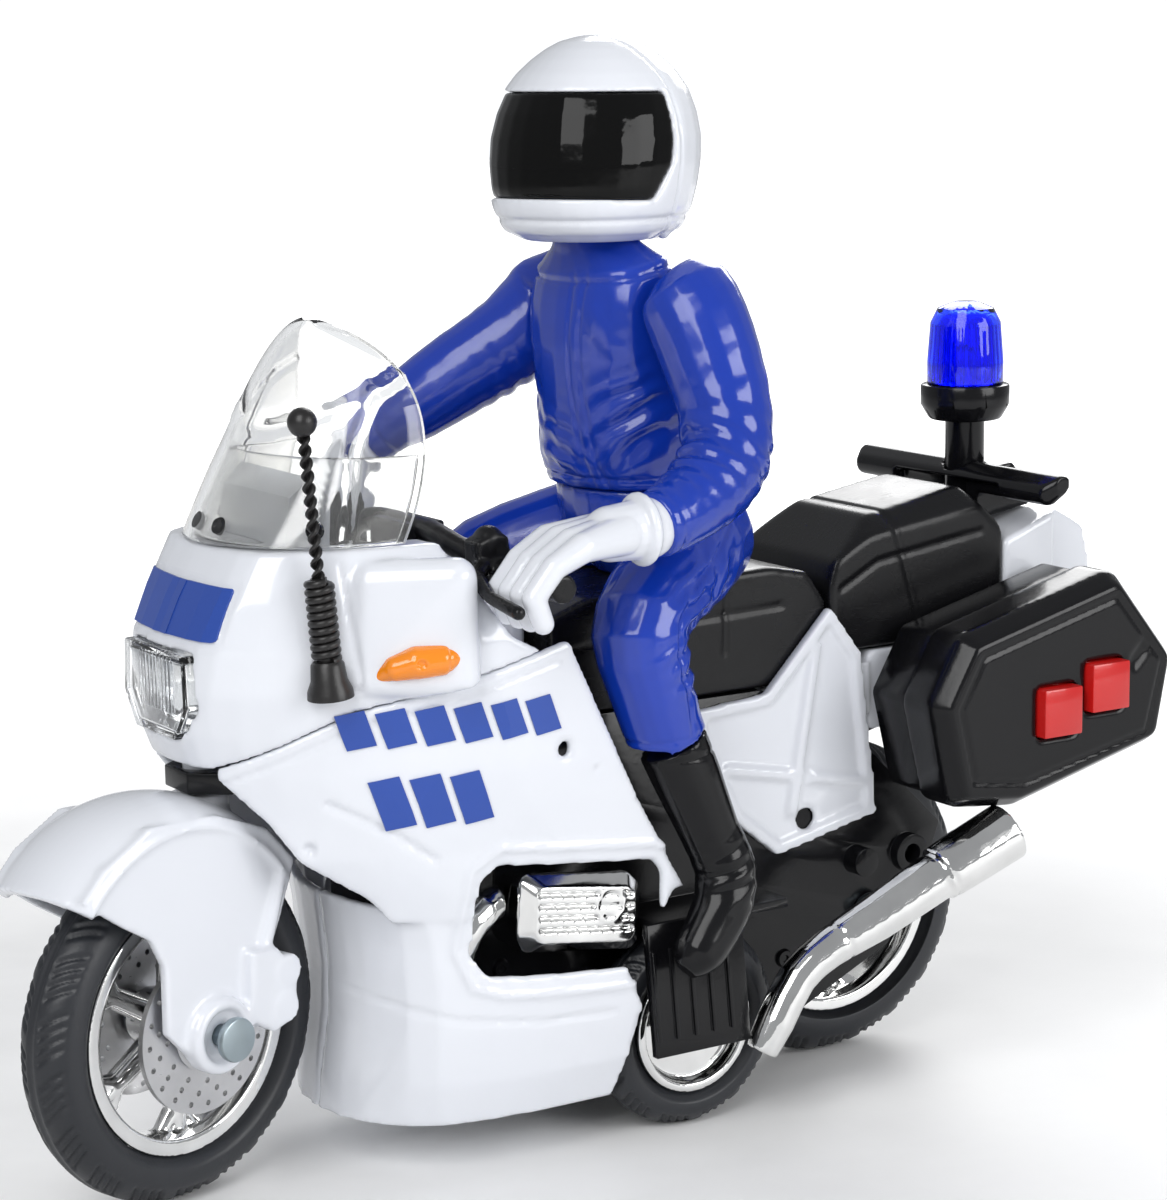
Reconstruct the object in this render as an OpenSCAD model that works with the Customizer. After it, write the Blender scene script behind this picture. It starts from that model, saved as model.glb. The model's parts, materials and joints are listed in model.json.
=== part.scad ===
// Toy touring motorcycle with a helmeted rider, moulded in plastic, driven by a push-along flywheel motor.
// Millimetres. +X points forward, +Y to the rider's left, +Z up, ground at z = 0.

/* [Part to draw] */
// Which sub-part is drawn

/* [Running gear] */
// Radius of the front and rear tyres
tyre_r = 25; // [22:0.5:28]
// Width of the front tyre
front_tyre_w = 10; // [8:0.5:12]
// Width of the rear tyre
rear_tyre_w = 12; // [9:0.5:13]
// Radius of the front and rear rims at the lip
rim_r = 18.2; // [16:0.1:20]
// Radius of the two driven wheels under the chassis
mid_r = 15.25; // [14:0.25:16]
// Width of each driven wheel
mid_w = 7.4; // [6:0.1:7.6]
// Distance of each driven wheel's middle from the centre plane
mid_y = 16.95; // [16.9:0.05:17]
// Position of the drive axle along the motorcycle
drive_x = -8.3; // [-9:0.1:-7]
// Position of the rear axle along the motorcycle
rear_x = -46; // [-48:0.5:-45]
// Radius of every wheel axle
axle_r = 1.5; // [1:0.1:2]
// Radial running clearance of a shaft in its hole
run_gap = 0.06; // [0.02:0.01:0.1]

/* [Steering] */
// Position of the steering stem along the motorcycle
stem_x = 60.4; // [58:0.1:62]
// Distance of the front axle ahead of the stem
trail = 7; // [4:0.5:8]
// Angle the front wheel is turned to the rider's left at rest
steer = 17; // [0:1:20]
// Half width of the front mudguard
guard_w = 8.6; // [7.5:0.1:9.5]

/* [Body panels] */
// Wall of the moulded panels
wall = 1.6; // [1.2:0.1:2.2]
// Half width of the black frame box
frame_w = 12.4; // [11:0.1:12.6]
// Thickness of printed film
film = 0.25; // [0.15:0.05:0.4]
// Thickness of the windshield
shield_t = 1.2; // [0.8:0.1:1.6]
// Radius of the antenna's whip
whip_r = 1.3; // [0.9:0.1:1.6]

/* [Motor] */
// Tooth size of the gears
gear_m = 0.6; // [0.5:0.1:0.7]
// Teeth on each large gear
gear_big = 24; // [20:1:26]
// Teeth on each small gear
gear_small = 8; // [8:1:10]
// Radius of the flywheel
fly_r = 8.4; // [7:0.1:9]

/* [Luggage and lamp] */
// Position of the pannier's outer face from the centre plane
pannier_w = 32.4; // [30:0.1:34]
// Side of each square push-button
button_s = 7.4; // [6:0.1:8]
// Travel of each push-button
button_travel = 1.2; // [0.8:0.1:1.5]
// Radius of the blue lamp's lens
lamp_r = 6; // [5:0.1:7]

/* [Rider] */
// Angle the head is turned to the rider's left at rest
head_turn = 28; // [0:1:40]
// Half distance between the two shoulder faces
shoulder_w = 13; // [12:0.1:14]

/* [Hidden] */
$fn = 48;
gap = 0.3;
front_x = stem_x + trail;
mesh_r = gear_m * (gear_big + gear_small) / 2;
idler_angle = 100;
fly_angle = 60;
idler_x = drive_x + mesh_r * cos(idler_angle);
idler_z = mid_r + mesh_r * sin(idler_angle);
fly_x = idler_x + mesh_r * cos(fly_angle);
fly_z = idler_z + mesh_r * sin(fly_angle);
shaft_r = 1;
post_r = 3.1;
lamp_x = -74.7;
lamp_z = 103.5;
shoulder_x = -10.5;
shoulder_z = 119.5;
grip_x = 24;
grip_z = 86;
cell_r = 5.8;
cell_h = 3.05;
neck_x = -5.7;
neck_z = 130.6;
tail_end = -91.68;

// ---- general helpers ----
function unit(v) = v / norm(v);
function blend(a, b, c, d, t) = 0.5 * (2 * b + (c - a) * t + (2 * a - 5 * b + 4 * c - d) * t * t
    + (3 * b - a - 3 * c + d) * t * t * t);
function smooth(s, k) = [for (i = [0 : len(s) - 2]) for (j = [0 : k - 1])
    blend(s[max(i - 1, 0)], s[i], s[i + 1], s[min(i + 2, len(s) - 1)], j / k), s[len(s) - 1]];
function oval(x, y, z, rx, ry, e, n) = [for (i = [0 : n - 1])
    let (c = cos(360 * i / n), s = sin(360 * i / n))
    [x + rx * sign(c) * pow(abs(c), 2 / e), y + ry * sign(s) * pow(abs(s), 2 / e), z]];
function hoop(p, d, up, a, b, n) = let (w = unit(d), u = unit(up - w * (up * w)), v = cross(w, u))
    [for (i = [0 : n - 1]) p + u * a * cos(360 * i / n) + v * b * sin(360 * i / n)];
function spot(s) = [s[0], s[1], s[2]];
function heading(s, i) = spot(s[min(i + 1, len(s) - 1)]) - spot(s[max(i - 1, 0)]);

module loft(rings) {
    n = len(rings[0]);
    m = len(rings);
    polyhedron(points = [for (r = rings) each r], faces = concat([[for (i = [0 : n - 1]) i]],
        [for (k = [0 : m - 2]) for (i = [0 : n - 1]) each [
            [k * n + i, (k + 1) * n + i, (k + 1) * n + (i + 1) % n],
            [k * n + i, (k + 1) * n + (i + 1) % n, k * n + (i + 1) % n]]],
        [[for (i = [n - 1 : -1 : 0]) (m - 1) * n + i]]), convexity = 8);
}

// A limb or bent pipe through stations [x, y, z, radius a, radius b]
module limb(stations, up, k = 3, n = 18) {
    s = smooth(stations, k);
    loft([for (i = [0 : len(s) - 1]) hoop(spot(s[i]), heading(s, i), up, s[i][3], s[i][4], n)]);
}

// A stack of upright ovals through stations [x, y, z, radius along x, radius along y, squareness]
module stack(stations, k = 3, n = 28) {
    s = smooth(stations, k);
    loft([for (r = s) oval(r[0], r[1], r[2], r[3], r[4], r[5], n)]);
}

module cyl_y(x, z, y0, y1, r) translate([x, y1, z]) rotate([90, 0, 0]) cylinder(h = y1 - y0, r = r);
module slab_y(y0, y1) translate([0, y1, 0]) rotate([90, 0, 0]) linear_extrude(y1 - y0) children();
module slab_x(x0, x1) translate([x0, 0, 0]) rotate([90, 0, 90]) linear_extrude(x1 - x0) children();
module right() mirror([0, 1, 0]) children();
module meshed() resize([0, 0, 0]) children();
module block(x0, x1, y0, y1, z0, z1) translate([x0, y0, z0]) cube([x1 - x0, y1 - y0, z1 - z0]);
module round_poly(points, r) offset(r) offset(-r) polygon(points);

// ---- curved panels: level = [z, [[x, y] from front to back]] ----
function edge_normal(p, i) = let (d = p[min(i + 1, len(p) - 1)] - p[max(i - 1, 0)])
    [d[1], -d[0]] / norm(d);
function panel_ring(level, t_out, t_in) = let (p = smooth(level[1], 2)) concat(
    [for (i = [0 : len(p) - 1]) let (q = p[i] + edge_normal(p, i) * t_out) [q[0], q[1], level[0]]],
    [for (i = [len(p) - 1 : -1 : 0]) let (q = p[i] - edge_normal(p, i) * t_in) [q[0], q[1], level[0]]]);
module panel(levels, t_out, t_in) loft([for (v = levels) panel_ring(v, t_out, t_in)]);

belly_levels = [
    [7.5, [[44, -2], [43.2, 6], [40, 12.5], [33, 18], [20, 20], [6.2, 20.3]]],
    [14, [[43.2, -2], [42.6, 6], [40, 13], [34.5, 19.5], [20, 22.5], [4.8, 22.8]]],
    [21.4, [[41.9, -2], [41.4, 6], [39.4, 13], [34.6, 20.2], [20, 23.6], [3, 23.9]]],
    [28, [[41.7, -2], [41.2, 6], [39.4, 13], [34.6, 20.4], [20, 24.2], [5.9, 24.4]]],
    [34, [[42.3, -2], [41.8, 6], [39.6, 13], [35.3, 20], [20, 24.6], [0.8, 24.8]]],
    [39.5, [[43, -2], [42.5, 6], [40.4, 13], [36.4, 20], [20, 24.9], [-2.7, 25]]]];
side_levels = [
    [38.2, [[40.5, 18], [36.5, 20], [28, 23.4], [12, 24.9], [-3.6, 25]]],
    [42, [[44, 17.4], [38, 20.6], [28, 23.8], [12, 25.2], [-1.3, 25.2]]],
    [48, [[53, 15], [46, 18.8], [36, 22.4], [18, 25.4], [2.1, 25.6]]],
    [54, [[57, 13], [50, 17.6], [40, 22], [22, 25.8], [5.5, 26]]],
    [60, [[62.6, 9.8], [56, 15], [44, 21], [26, 26], [8.4, 26.2]]],
    [66, [[63.6, 10.6], [56, 16], [42, 21.8], [26, 26], [11.2, 26.3]]],
    [72, [[63, 11.6], [56, 17], [42, 22.4], [28, 26], [14, 26.2]]],
    [77, [[60, 13.6], [54, 17.9], [42, 22.4], [28, 25.8], [16.3, 26]]]];
nose_levels = [
    [60, [[64.6, -2], [63.9, 6], [61.6, 9.8], [56, 15], [44, 21], [26, 26], [8.4, 26.2]]],
    [66, [[66.8, -2], [66.2, 6], [63.6, 10.6], [56, 16], [42, 21.8], [26, 26], [11.2, 26.3]]],
    [72, [[67.2, -2], [66.6, 6], [64.2, 11.6], [56, 17], [42, 22.4], [28, 26], [14, 26.2]]],
    [78, [[66.2, -2], [65.6, 7], [63.4, 12.8], [54, 18], [42, 22.4], [31, 25.5], [25, 26]]],
    [84, [[63.4, -2], [62.8, 7], [60.6, 13.8], [52, 18.2], [43, 20.8], [34, 23], [29, 24]]],
    [91, [[59.4, -2], [58.9, 7], [57, 13.8], [50, 17.4], [43, 19], [37, 19.8], [33, 20]]]];

// Everything above the seam between the side fairing and the nose cowl
module above_seam(drop) slab_y(-40, 40) polygon([[72, 60.6 - drop], [62.4, 61.4 - drop], [47, 69 - drop],
    [30, 73 - drop], [17.5, 76.2 - drop], [5, 78 - drop], [5, 130], [72, 130]]);

module fairing_half() meshed() difference() {
    union() {
        panel(belly_levels, 0, wall);
        panel(side_levels, 0, wall);
        intersection() {
            panel(belly_levels, 0, 14);
            block(8.05, 60, -2, 40, 7.5, 9);
        }
    }
    block(-20, 90, -10, 0.01, 0, 140);
    above_seam(0);
    slab_y(10, 40) round_poly([[0.4, 29.5], [3, 27.4], [28, 29.5], [30.4, 33], [29.5, 43.5], [27, 45.6],
        [2, 43], [0.4, 41]], 1.5);
    slab_y(10, 40) round_poly([[16.2, 60.2], [18.2, 60.2], [18.2, 62.4], [16.2, 62.4]], 0.2);
}
module fairing_left() color("white") fairing_half();
module fairing_right() color("white") right() fairing_half();

module pod_solid(grow) hull() {
    for (p = [[43.2, 19.4, 86.6], [44.6, 20.2, 74], [34, 26, 87], [33.6, 26, 73.4]])
        translate(p) sphere(r = 3 + grow, $fn = 16);
}
module lens_outline(grow) polygon([[-9 - grow, 77.4 + grow], [9 + grow, 77.4 + grow],
    [9.4 + grow, 70], [6 + grow, 65.4 - grow], [-6 - grow, 65.4 - grow], [-9.4 - grow, 70]]);

module cowl_half() difference() {
    union() {
        panel(nose_levels, 0, wall);
        pod_solid(0);
        intersection() {
            panel(nose_levels, 0, 30);
            block(33, 62, -1, 24, 89.4, 91);
        }
    }
    block(0, 90, -10, 0, 0, 140);
}
module nose_cowl() color("white") meshed() difference() {
    union() {
        cowl_half();
        right() cowl_half();
    }
    difference() {
        block(0, 80, -40, 40, 50, 90);
        above_seam(-0.04);
    }
    slab_x(60, 75) lens_outline(0.06);
    block(22, 45, -14.4, 14.4, 70, 95);
}

module nose_sticker() intersection() {
    union() {
        panel(nose_levels, film, -0.02);
        right() panel(nose_levels, film, -0.02);
    }
    slab_x(50, 75) round_poly([[-12.4, 79.4], [12.4, 79.4], [12.4, 86.4], [-12.4, 86.4]], 0.6);
}
// Plain colour bars along the side in place of lettering
module bar(x, z, w, h) translate([x, z]) multmatrix([[1, 0.35, 0, 0], [-0.16, 1, 0, 0], [0, 0, 1, 0],
    [0, 0, 0, 1]]) square([w, h]);
module side_bars() intersection() {
    panel(side_levels, film, -0.02);
    slab_y(14, 40) {
        for (i = [0 : 5]) bar(18 + i * 5.2, 64.5, 3.8, 5);
        for (i = [0 : 2]) bar(28 + i * 5.4, 53, 4, 7);
    }
}
module graphics() color("royalblue") meshed() difference() {
    union() {
        nose_sticker();
        side_bars();
        right() side_bars();
    }
    for (s = [0, 1]) mirror([0, s, 0]) {
        panel(nose_levels, 0, 6);
        panel(side_levels, 0, 6);
    }
}

module tank_cover() color("white") meshed() difference() {
    stack([[27, 0, 66, 15.6, 12.4, 3.2], [26.6, 0, 78, 15.4, 13.4, 3], [25.6, 0, 84, 13.6, 12, 2.8],
        [25, 0, 87.2, 10, 8.6, 2.6]], 2, 24);
    stack([[27, 0, 65, 14, 10.8, 3.2], [26.6, 0, 77, 13.8, 11.8, 3], [25.6, 0, 82.4, 12, 10.4, 2.8],
        [25, 0, 85.6, 8.4, 7, 2.6]], 1, 24);
}
module dash_panel() color("white") difference() {
    slab_y(-11, 11) polygon([[45, 91.02], [51.5, 91.02], [50.6, 97.5], [47.4, 100], [44.6, 97]]);
    for (s = [-1, 1]) translate([42, s * 4.8, 95.6]) rotate([0, 90, 0]) cylinder(h = 3.8, r = 3.4);
}

shield_levels = [[91.1, 60, 38, 19.6], [98, 56.4, 35.6, 20], [104, 52.8, 34.4, 19.2],
    [110, 49.2, 34.2, 17.4], [115, 46.2, 36.4, 13.2], [118.4, 44.2, 39, 8.6], [120.6, 42.8, 41, 4.2]];
function outer_arc(v, drop, n) = [for (i = [0 : n]) let (t = 90 - 180 * i / n)
    [v[2] + (v[1] - drop - v[2]) * cos(t), (v[3] - drop) * sin(t), v[0]]];
function flip(a) = [for (i = [len(a) - 1 : -1 : 0]) a[i]];
module shield_skin(levels, inset, t) loft([for (v = levels)
    concat(flip(outer_arc(v, inset, 20)), outer_arc(v, inset + t, 20))]);
module windshield() color("gray", 0.4) meshed() shield_skin(shield_levels, 0, shield_t);
module shield_skirt() color("gray", 0.4) meshed() difference() {
    shield_skin([[91.1, 60, 38, 19.6], [98, 56.4, 35.6, 20], [102.5, 53.7, 34.7, 19.4]], shield_t + 0.3, 1);
    slab_x(40, 70) polygon([[-6, 103], [-3.4, 97], [3.4, 97], [6, 103]]);
}

module headlamp_lens() color("lightblue", 0.5) difference() {
    slab_x(62.6, 67) lens_outline(0);
    slab_x(62, 65.8) offset(-1.2) lens_outline(0);
}
module headlamp_reflector() color("silver") difference() {
    slab_x(56.6, 62.4) offset(-0.4) lens_outline(0);
    translate([63.4, 0, 71.4]) scale([0.9, 1.35, 1]) sphere(r = 5.6);
    translate([55, 0, 71.4]) rotate([0, 90, 0]) cylinder(h = 5, r = 1.7);
}
module bulb() union() {
    cylinder(h = 4.6, r = 1.6);
    translate([0, 0, 4.6]) sphere(r = 1.6, $fn = 32);
}
module bulbs() color("white") union() {
    translate([55.4, 0, 71.4]) rotate([0, 90, 0]) bulb();
    translate([lamp_x, 0, lamp_z - 0.05]) bulb();
}

module indicator_side() meshed() difference() {
    hull() {
        translate([43.6, 23.6, 76]) sphere(r = 2.5, $fn = 20);
        translate([37, 27.4, 76]) sphere(r = 2.3, $fn = 20);
    }
    pod_solid(0.04);
    panel(nose_levels, 0.04, 6);
}
module indicators() color("orange") union() {
    indicator_side();
    right() indicator_side();
}

module antenna() color("black") meshed() difference() {
    antenna_solid();
    pod_solid(0.01);
    panel(nose_levels, 0.01, 8);
}
module antenna_solid() translate([50.2, 20, 71.7]) rotate([0, 5, 0]) union() {
    cylinder(h = 5.1, r1 = 3.2, r2 = 2.2, $fn = 18);
    for (i = [0 : 6]) translate([0, 0, 5 + i * 1.6]) cylinder(h = 1.1, r = 2.1, $fn = 16);
    cylinder(h = 37, r = whip_r, $fn = 16);
    translate([0, 0, 37.8]) sphere(r = 2.2, $fn = 16);
}

// ---- steering and front wheel ----
module steered() translate([stem_x, 0, 0]) rotate(steer) translate([-stem_x, 0, 0]) children();

module steering_plate() color("black") difference() {
    translate([0, 0, 57]) linear_extrude(3) polygon([[26.4, -10], [40, -12], [52, -11], [60, -6.6],
        [64, -3.6], [64, 3.6], [60, 6.6], [52, 11], [40, 12], [26.4, 10]]);
    translate([stem_x, 0, 56]) cylinder(h = 5, r = 2.4 + run_gap);
}

// Outline of the mudguard's crown from its front tip to its tail, and the skirt and leg below it
crown = [[90.8, 49.3], [88.6, 53.2], [84.6, 56.2], [79.4, 57.8], [73.4, 58], [67.4, 57], [61.6, 55.2],
    [56.6, 52.2], [52.6, 48.4], [50.2, 45.2]];
skirt_edge = [[56.2, 34.6], [57.8, 28], [60.2, 21.6], [65.4, 19.2], [70.4, 20.6], [77, 25.4], [76, 34.4],
    [76.8, 37.8], [79.4, 40.8], [83, 43.2], [89, 46.6]];
module fork_plan() translate([0, 0, -1]) linear_extrude(80) polygon([[91.4, -2.6], [91.4, 2.6],
    [86, guard_w], [80, 10.2], [50, 10.2], [50, -10.2], [80, -10.2], [86, -guard_w]]);
module caliper() slab_y(7.7, 11.6) polygon([[front_x - 14.8, 30], [front_x - 14, 24], [front_x - 9, 22.4],
    [front_x - 4, 25.6], [front_x - 5, 36], [front_x - 11, 35.4]]);
module front_fork() color("white") steered() difference() {
    union() {
        intersection() {
            slab_y(-10.2, 10.2) polygon(concat(crown, skirt_edge));
            fork_plan();
        }
        for (s = [0, 1]) mirror([0, s, 0]) {
            caliper();
            cyl_y(front_x, tyre_r, 7.5, 12.4, 5);
        }
        translate([stem_x, 0, 52]) cylinder(h = 4.6, r = 4);
        translate([stem_x, 0, 52]) cylinder(h = 10, r = 2.4);
    }
    slab_y(-7.6, 7.6) polygon([[89.2, 48.4], [87.4, 51.8], [84, 54.6], [79.2, 56.2], [73.6, 56.4], [67.8, 55.4],
        [62.4, 53.6], [57.6, 50.8], [53.8, 47.2], [49, 43], [49, 10], [92, 10], [92, 47]]);
    cyl_y(front_x, tyre_r, -20, 20, axle_r + 0.01);
}
module front_axle() color("silver") steered() union() {
    cyl_y(front_x, tyre_r, -12.5, 12.5, axle_r);
    for (s = [0, 1]) mirror([0, s, 0]) cyl_y(front_x, tyre_r, 12.41, 13.8, 3.1);
}

function tyre_points(r0, r, w) = [[r0, -w / 2 + 0.9], [r0 + 1, -w / 2], [r - 2.6, -w / 2],
    [r - 1, -w / 2 + 0.9], [r, -w / 2 + 2.6], [r, w / 2 - 2.6], [r - 1, w / 2 - 0.9],
    [r - 2.6, w / 2], [r0 + 1, w / 2], [r0, w / 2 - 0.9]];
module tyre(x, z, r0, r, w) translate([x, 0, z]) rotate([90, 0, 0]) rotate_extrude($fn = 96)
    polygon(tyre_points(r0, r, w));

module front_tyre() color("dimgray") steered() tyre(front_x, tyre_r, rim_r, tyre_r, front_tyre_w);
module front_rim() color("silver") steered() translate([front_x, 0, tyre_r]) rotate([90, 0, 0]) difference() {
    union() {
        rotate_extrude($fn = 96) polygon([[15.4, -3.9], [rim_r - 0.02, -3.9], [rim_r - 0.02, 3.9],
            [15.4, 3.9], [14.6, 0]]);
        translate([0, 0, -5.6]) cylinder(h = 11.2, r = 4);
        for (a = [0 : 36 : 359]) rotate(a) translate([3, -0.9, -2]) cube([12.6, 1.8, 4]);
    }
    translate([0, 0, -8]) cylinder(h = 16, r = axle_r + run_gap);
}
module brake_discs() color("lightgray") steered() for (s = [0, 1]) mirror([0, s, 0])
    translate([front_x, 6.6, tyre_r]) rotate([90, 0, 0]) difference() {
        cylinder(h = 1, r = 11.4);
        translate([0, 0, -1]) cylinder(h = 3, r = axle_r + run_gap);
        for (a = [0 : 30 : 359]) rotate(a) translate([9, 0, -1]) cylinder(h = 3, r = 0.7, $fn = 16);
    }

// ---- frame ----
frame_outline = [[8, 6], [8, 24], [34, 24], [34, 57], [26, 57], [18, 62], [-26, 62], [-46, 50.5],
    [-60, 37], [-57, 29], [-50, 19], [-26, 8], [-18, 6]];
frame_hollow = [[8 - wall, 6 + wall], [8 - wall, 24 + wall], [34 - wall, 24 + wall], [34 - wall, 55.4],
    [25.4, 55.4], [17.4, 60.4], [-25, 60.4], [-25, 53], [-17.8, 47], [-17.8, 6 + wall]];
module board_section() polygon([[21.8, 31.2], [22.2, 32.8], [23.2, 32.8], [25.7, 13.6], [24.4, 13.6],
    [22.1, 30.8]]);
module frame_half() difference() {
    union() {
        difference() {
            slab_y(0, frame_w) polygon(frame_outline);
            slab_y(-1, frame_w - wall) polygon(frame_hollow);
            cyl_y(rear_x, tyre_r, -1, 7.6, tyre_r + 1.6);
        }
        block(-23.5, 0.4, frame_w, 22.6, 31.4, 32.8);
        slab_x(-14.5, 2) board_section();
        for (i = [0 : 4]) slab_x(-11.6 + i * 3.2, -11 + i * 3.2)
            polygon([[24.2, 29], [25.9, 16], [25.3, 16], [23.6, 29]]);
        cyl_y(-43.5, 33.5, frame_w, 15.6, 2.2);
        cyl_y(-53.4, 33.2, frame_w, 14.2, 3);
    }
    cyl_y(drive_x, mid_r, -1, 20, 2.4);
    cyl_y(rear_x, tyre_r, -1, 20, axle_r + 0.01);
    cyl_y(-53.4, 33.2, 11, 20, 1.5);
}
module frame_left() color("dimgray") frame_half();
module frame_right() color("dimgray") right() frame_half();

module cover_ribbed() difference() {
    hull() {
        slab_y(frame_w + 0.02, 19.4) round_poly([[2, 28.6], [20.4, 31], [21.6, 33.6], [20.8, 42.6],
            [2.6, 40.2], [0.8, 38.4], [1, 30]], 1.6);
        slab_y(19, 21.6) round_poly([[4, 30.6], [18.8, 32.6], [19.8, 34], [19.2, 40.8], [4, 38.6],
            [2.8, 37.4], [3, 31.6]], 1.4);
    }
    for (i = [0 : 3]) translate([0, 0, i * 1.7]) slab_y(20.9, 23) polygon([[3, 32], [19, 34.2],
        [19, 34.9], [3, 32.7]]);
}
module engine_covers() color("silver") meshed() union() {
    cover_ribbed();
    right() cover_ribbed();
}
module header_pipe() limb([[22, 15.4, 38, 2.6, 2.6], [26, 17.6, 37.6, 2.6, 2.6], [29, 18.2, 35, 2.5, 2.5],
    [29.8, 17.2, 31, 2.4, 2.4], [29, 15.4, 27, 2.3, 2.3]], [0, 1, 0], 2, 12);
module header_pipes() color("silver") meshed() difference() {
    union() {
        header_pipe();
        right() header_pipe();
    }
    block(0, 34.02, -frame_w - 0.02, frame_w + 0.02, 23, 60);
    cover_box();
    right() cover_box();
}
module cover_box() slab_y(frame_w, 22) polygon([[0, 27], [22, 30], [23, 33], [22, 44], [0, 42]]);

module exhaust_half() difference() {
    union() {
        limb([[-16.2, 25.8, 11.4, 2.4, 2.4], [-18.6, 26, 15.6, 2.9, 2.9], [-22.6, 26, 21.6, 2.9, 2.9],
            [-28, 26.4, 25.2, 3, 3], [-36, 27.2, 28.6, 3.5, 3.5], [-47, 28.6, 34, 3.8, 3.8],
            [-57, 30, 38.6, 3.9, 3.9]], [0, 1, 0], 2, 16);
        limb([[-47, 28.6, 34, 4.3, 4.3], [-52, 29.3, 36.3, 4.5, 4.5], [-59, 30.2, 39.4, 4.6, 4.6]],
            [0, 1, 0], 1, 20);
    }
    limb([[-54, 29.6, 37.2, 3, 3], [-62, 30.6, 40.8, 3.4, 3.4]], [0, 1, 0], 1, 20);
    block(-70, -40, 20, 40, 43.4, 50);
}
module exhausts() color("silver") meshed() union() {
    exhaust_half();
    right() exhaust_half();
}

// ---- flywheel motor ----
function involute(rb, r) = sqrt(max(0, pow(r / rb, 2) - 1)) * 180 / PI - acos(min(1, rb / r));
function tooth_half(n, r) = let (rp = gear_m * n / 2, rb = rp * cos(20))
    90 / n - 0.09 / rp * 57.3 + involute(rb, rp) - involute(rb, max(r, rb));
function tooth(n, tip, root) = [for (r = [root, gear_m * n / 2 * cos(20), gear_m * n / 2 * 0.98,
    (gear_m * n / 2 + tip) / 2, tip]) [r, tooth_half(n, r)]];
function polar(r, a) = [r * cos(a), r * sin(a)];
function gear_points(n, tip, root, turn) = let (t = tooth(n, tip, root))
    [for (k = [0 : n - 1]) let (c = turn + k * 360 / n) each concat(
        [for (i = [0 : len(t) - 1]) polar(t[i][0], c - t[i][1])],
        [for (i = [len(t) - 1 : -1 : 0]) polar(t[i][0], c + t[i][1])])];
module big_gear(x, z, y0, y1, turn) translate([x, 0, z]) slab_y(y0, y1)
    polygon(gear_points(gear_big, gear_m * gear_big / 2 + 0.3, gear_m * gear_big / 2 - 0.8, turn));
module small_gear(x, z, y0, y1, turn) translate([x, 0, z]) slab_y(y0, y1)
    polygon(gear_points(gear_small, gear_m * gear_small / 2 + 0.55, gear_m * gear_small / 2 - 0.62, turn));

case_outline = [[6, 8.4], [6, 44], [-17.4, 44], [-17.4, 8.4]];
module case_half() difference() {
    union() {
        slab_y(8.8, 10.2) polygon(case_outline);
        for (p = [[4.4, 10], [-15.8, 10], [4.4, 42.4], [-15.8, 42.4]]) cyl_y(p[0], p[1], 0.01, 9, 1.4);
    }
    cyl_y(drive_x, mid_r, 5, 12, axle_r + run_gap);
    cyl_y(idler_x, idler_z, 5, 12, shaft_r + run_gap);
    cyl_y(fly_x, fly_z, 5, 12, shaft_r + run_gap);
}
module motor_case_left() color("beige") case_half();
module motor_case_right() color("beige") right() case_half();
module drive_axle() color("gray") union() {
    cyl_y(drive_x, mid_r, -21.2, 21.2, axle_r);
    big_gear(drive_x, mid_r, -8, -5, idler_angle);
}
module idler_gear() color("gray") union() {
    cyl_y(idler_x, idler_z, -10.1, 10.1, shaft_r);
    small_gear(idler_x, idler_z, -8.4, -4.6, idler_angle + 180 + 180 / gear_small);
    big_gear(idler_x, idler_z, -4.6, -2, fly_angle);
}
module flywheel() color("gray") union() {
    cyl_y(fly_x, fly_z, -10.1, 10.1, shaft_r);
    small_gear(fly_x, fly_z, -5, -1.6, fly_angle + 180 + 180 / gear_small);
    cyl_y(fly_x, fly_z, 2.4, 8, fly_r);
}
module mid_wheel_rim() difference() {
    union() {
        translate([drive_x, mid_y, mid_r]) rotate([90, 0, 0]) rotate_extrude($fn = 72) polygon([[8.6, -3.4],
            [10, -3.4], [10, 3.4], [8.6, 3.4], [8, 1]]);
        cyl_y(drive_x, mid_r, mid_y - 1, mid_y + 1.4, 8.8);
        cyl_y(drive_x, mid_r, frame_w + 0.4, mid_y + 3.4, 3);
    }
    cyl_y(drive_x, mid_r, 10, mid_y + 3.8, axle_r + 0.01);
}
module mid_rims() color("silver") for (s = [0, 1]) mirror([0, s, 0]) mid_wheel_rim();
module mid_tyres() color("dimgray") for (s = [-1, 1]) translate([0, s * mid_y, 0])
    tyre(drive_x, mid_r, 10.02, mid_r, mid_w);

module rear_axle() color("silver") union() {
    cyl_y(rear_x, tyre_r, -12.5, 12.5, axle_r);
    for (s = [0, 1]) mirror([0, s, 0]) cyl_y(rear_x, tyre_r, frame_w + 0.01, 13.8, 2.8);
}
module rear_rim() color("silver") translate([rear_x, 0, tyre_r]) rotate([90, 0, 0]) difference() {
    union() {
        rotate_extrude($fn = 96) polygon([[16, -4.8], [rim_r - 0.02, -4.8], [rim_r - 0.02, 4.8], [16, 4.8],
            [15.2, 1.6], [4, 0.9], [4, -0.9], [15.2, -1.6]]);
        translate([0, 0, -6.8]) cylinder(h = 13.6, r = 4.2);
    }
    translate([0, 0, -8]) cylinder(h = 16, r = axle_r + run_gap);
    for (a = [0 : 72 : 359]) rotate(a) translate([10, 0, -8]) cylinder(h = 16, r = 2.2);
}
module rear_tyre() color("dimgray") tyre(rear_x, tyre_r, rim_r, tyre_r, rear_tyre_w);

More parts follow.
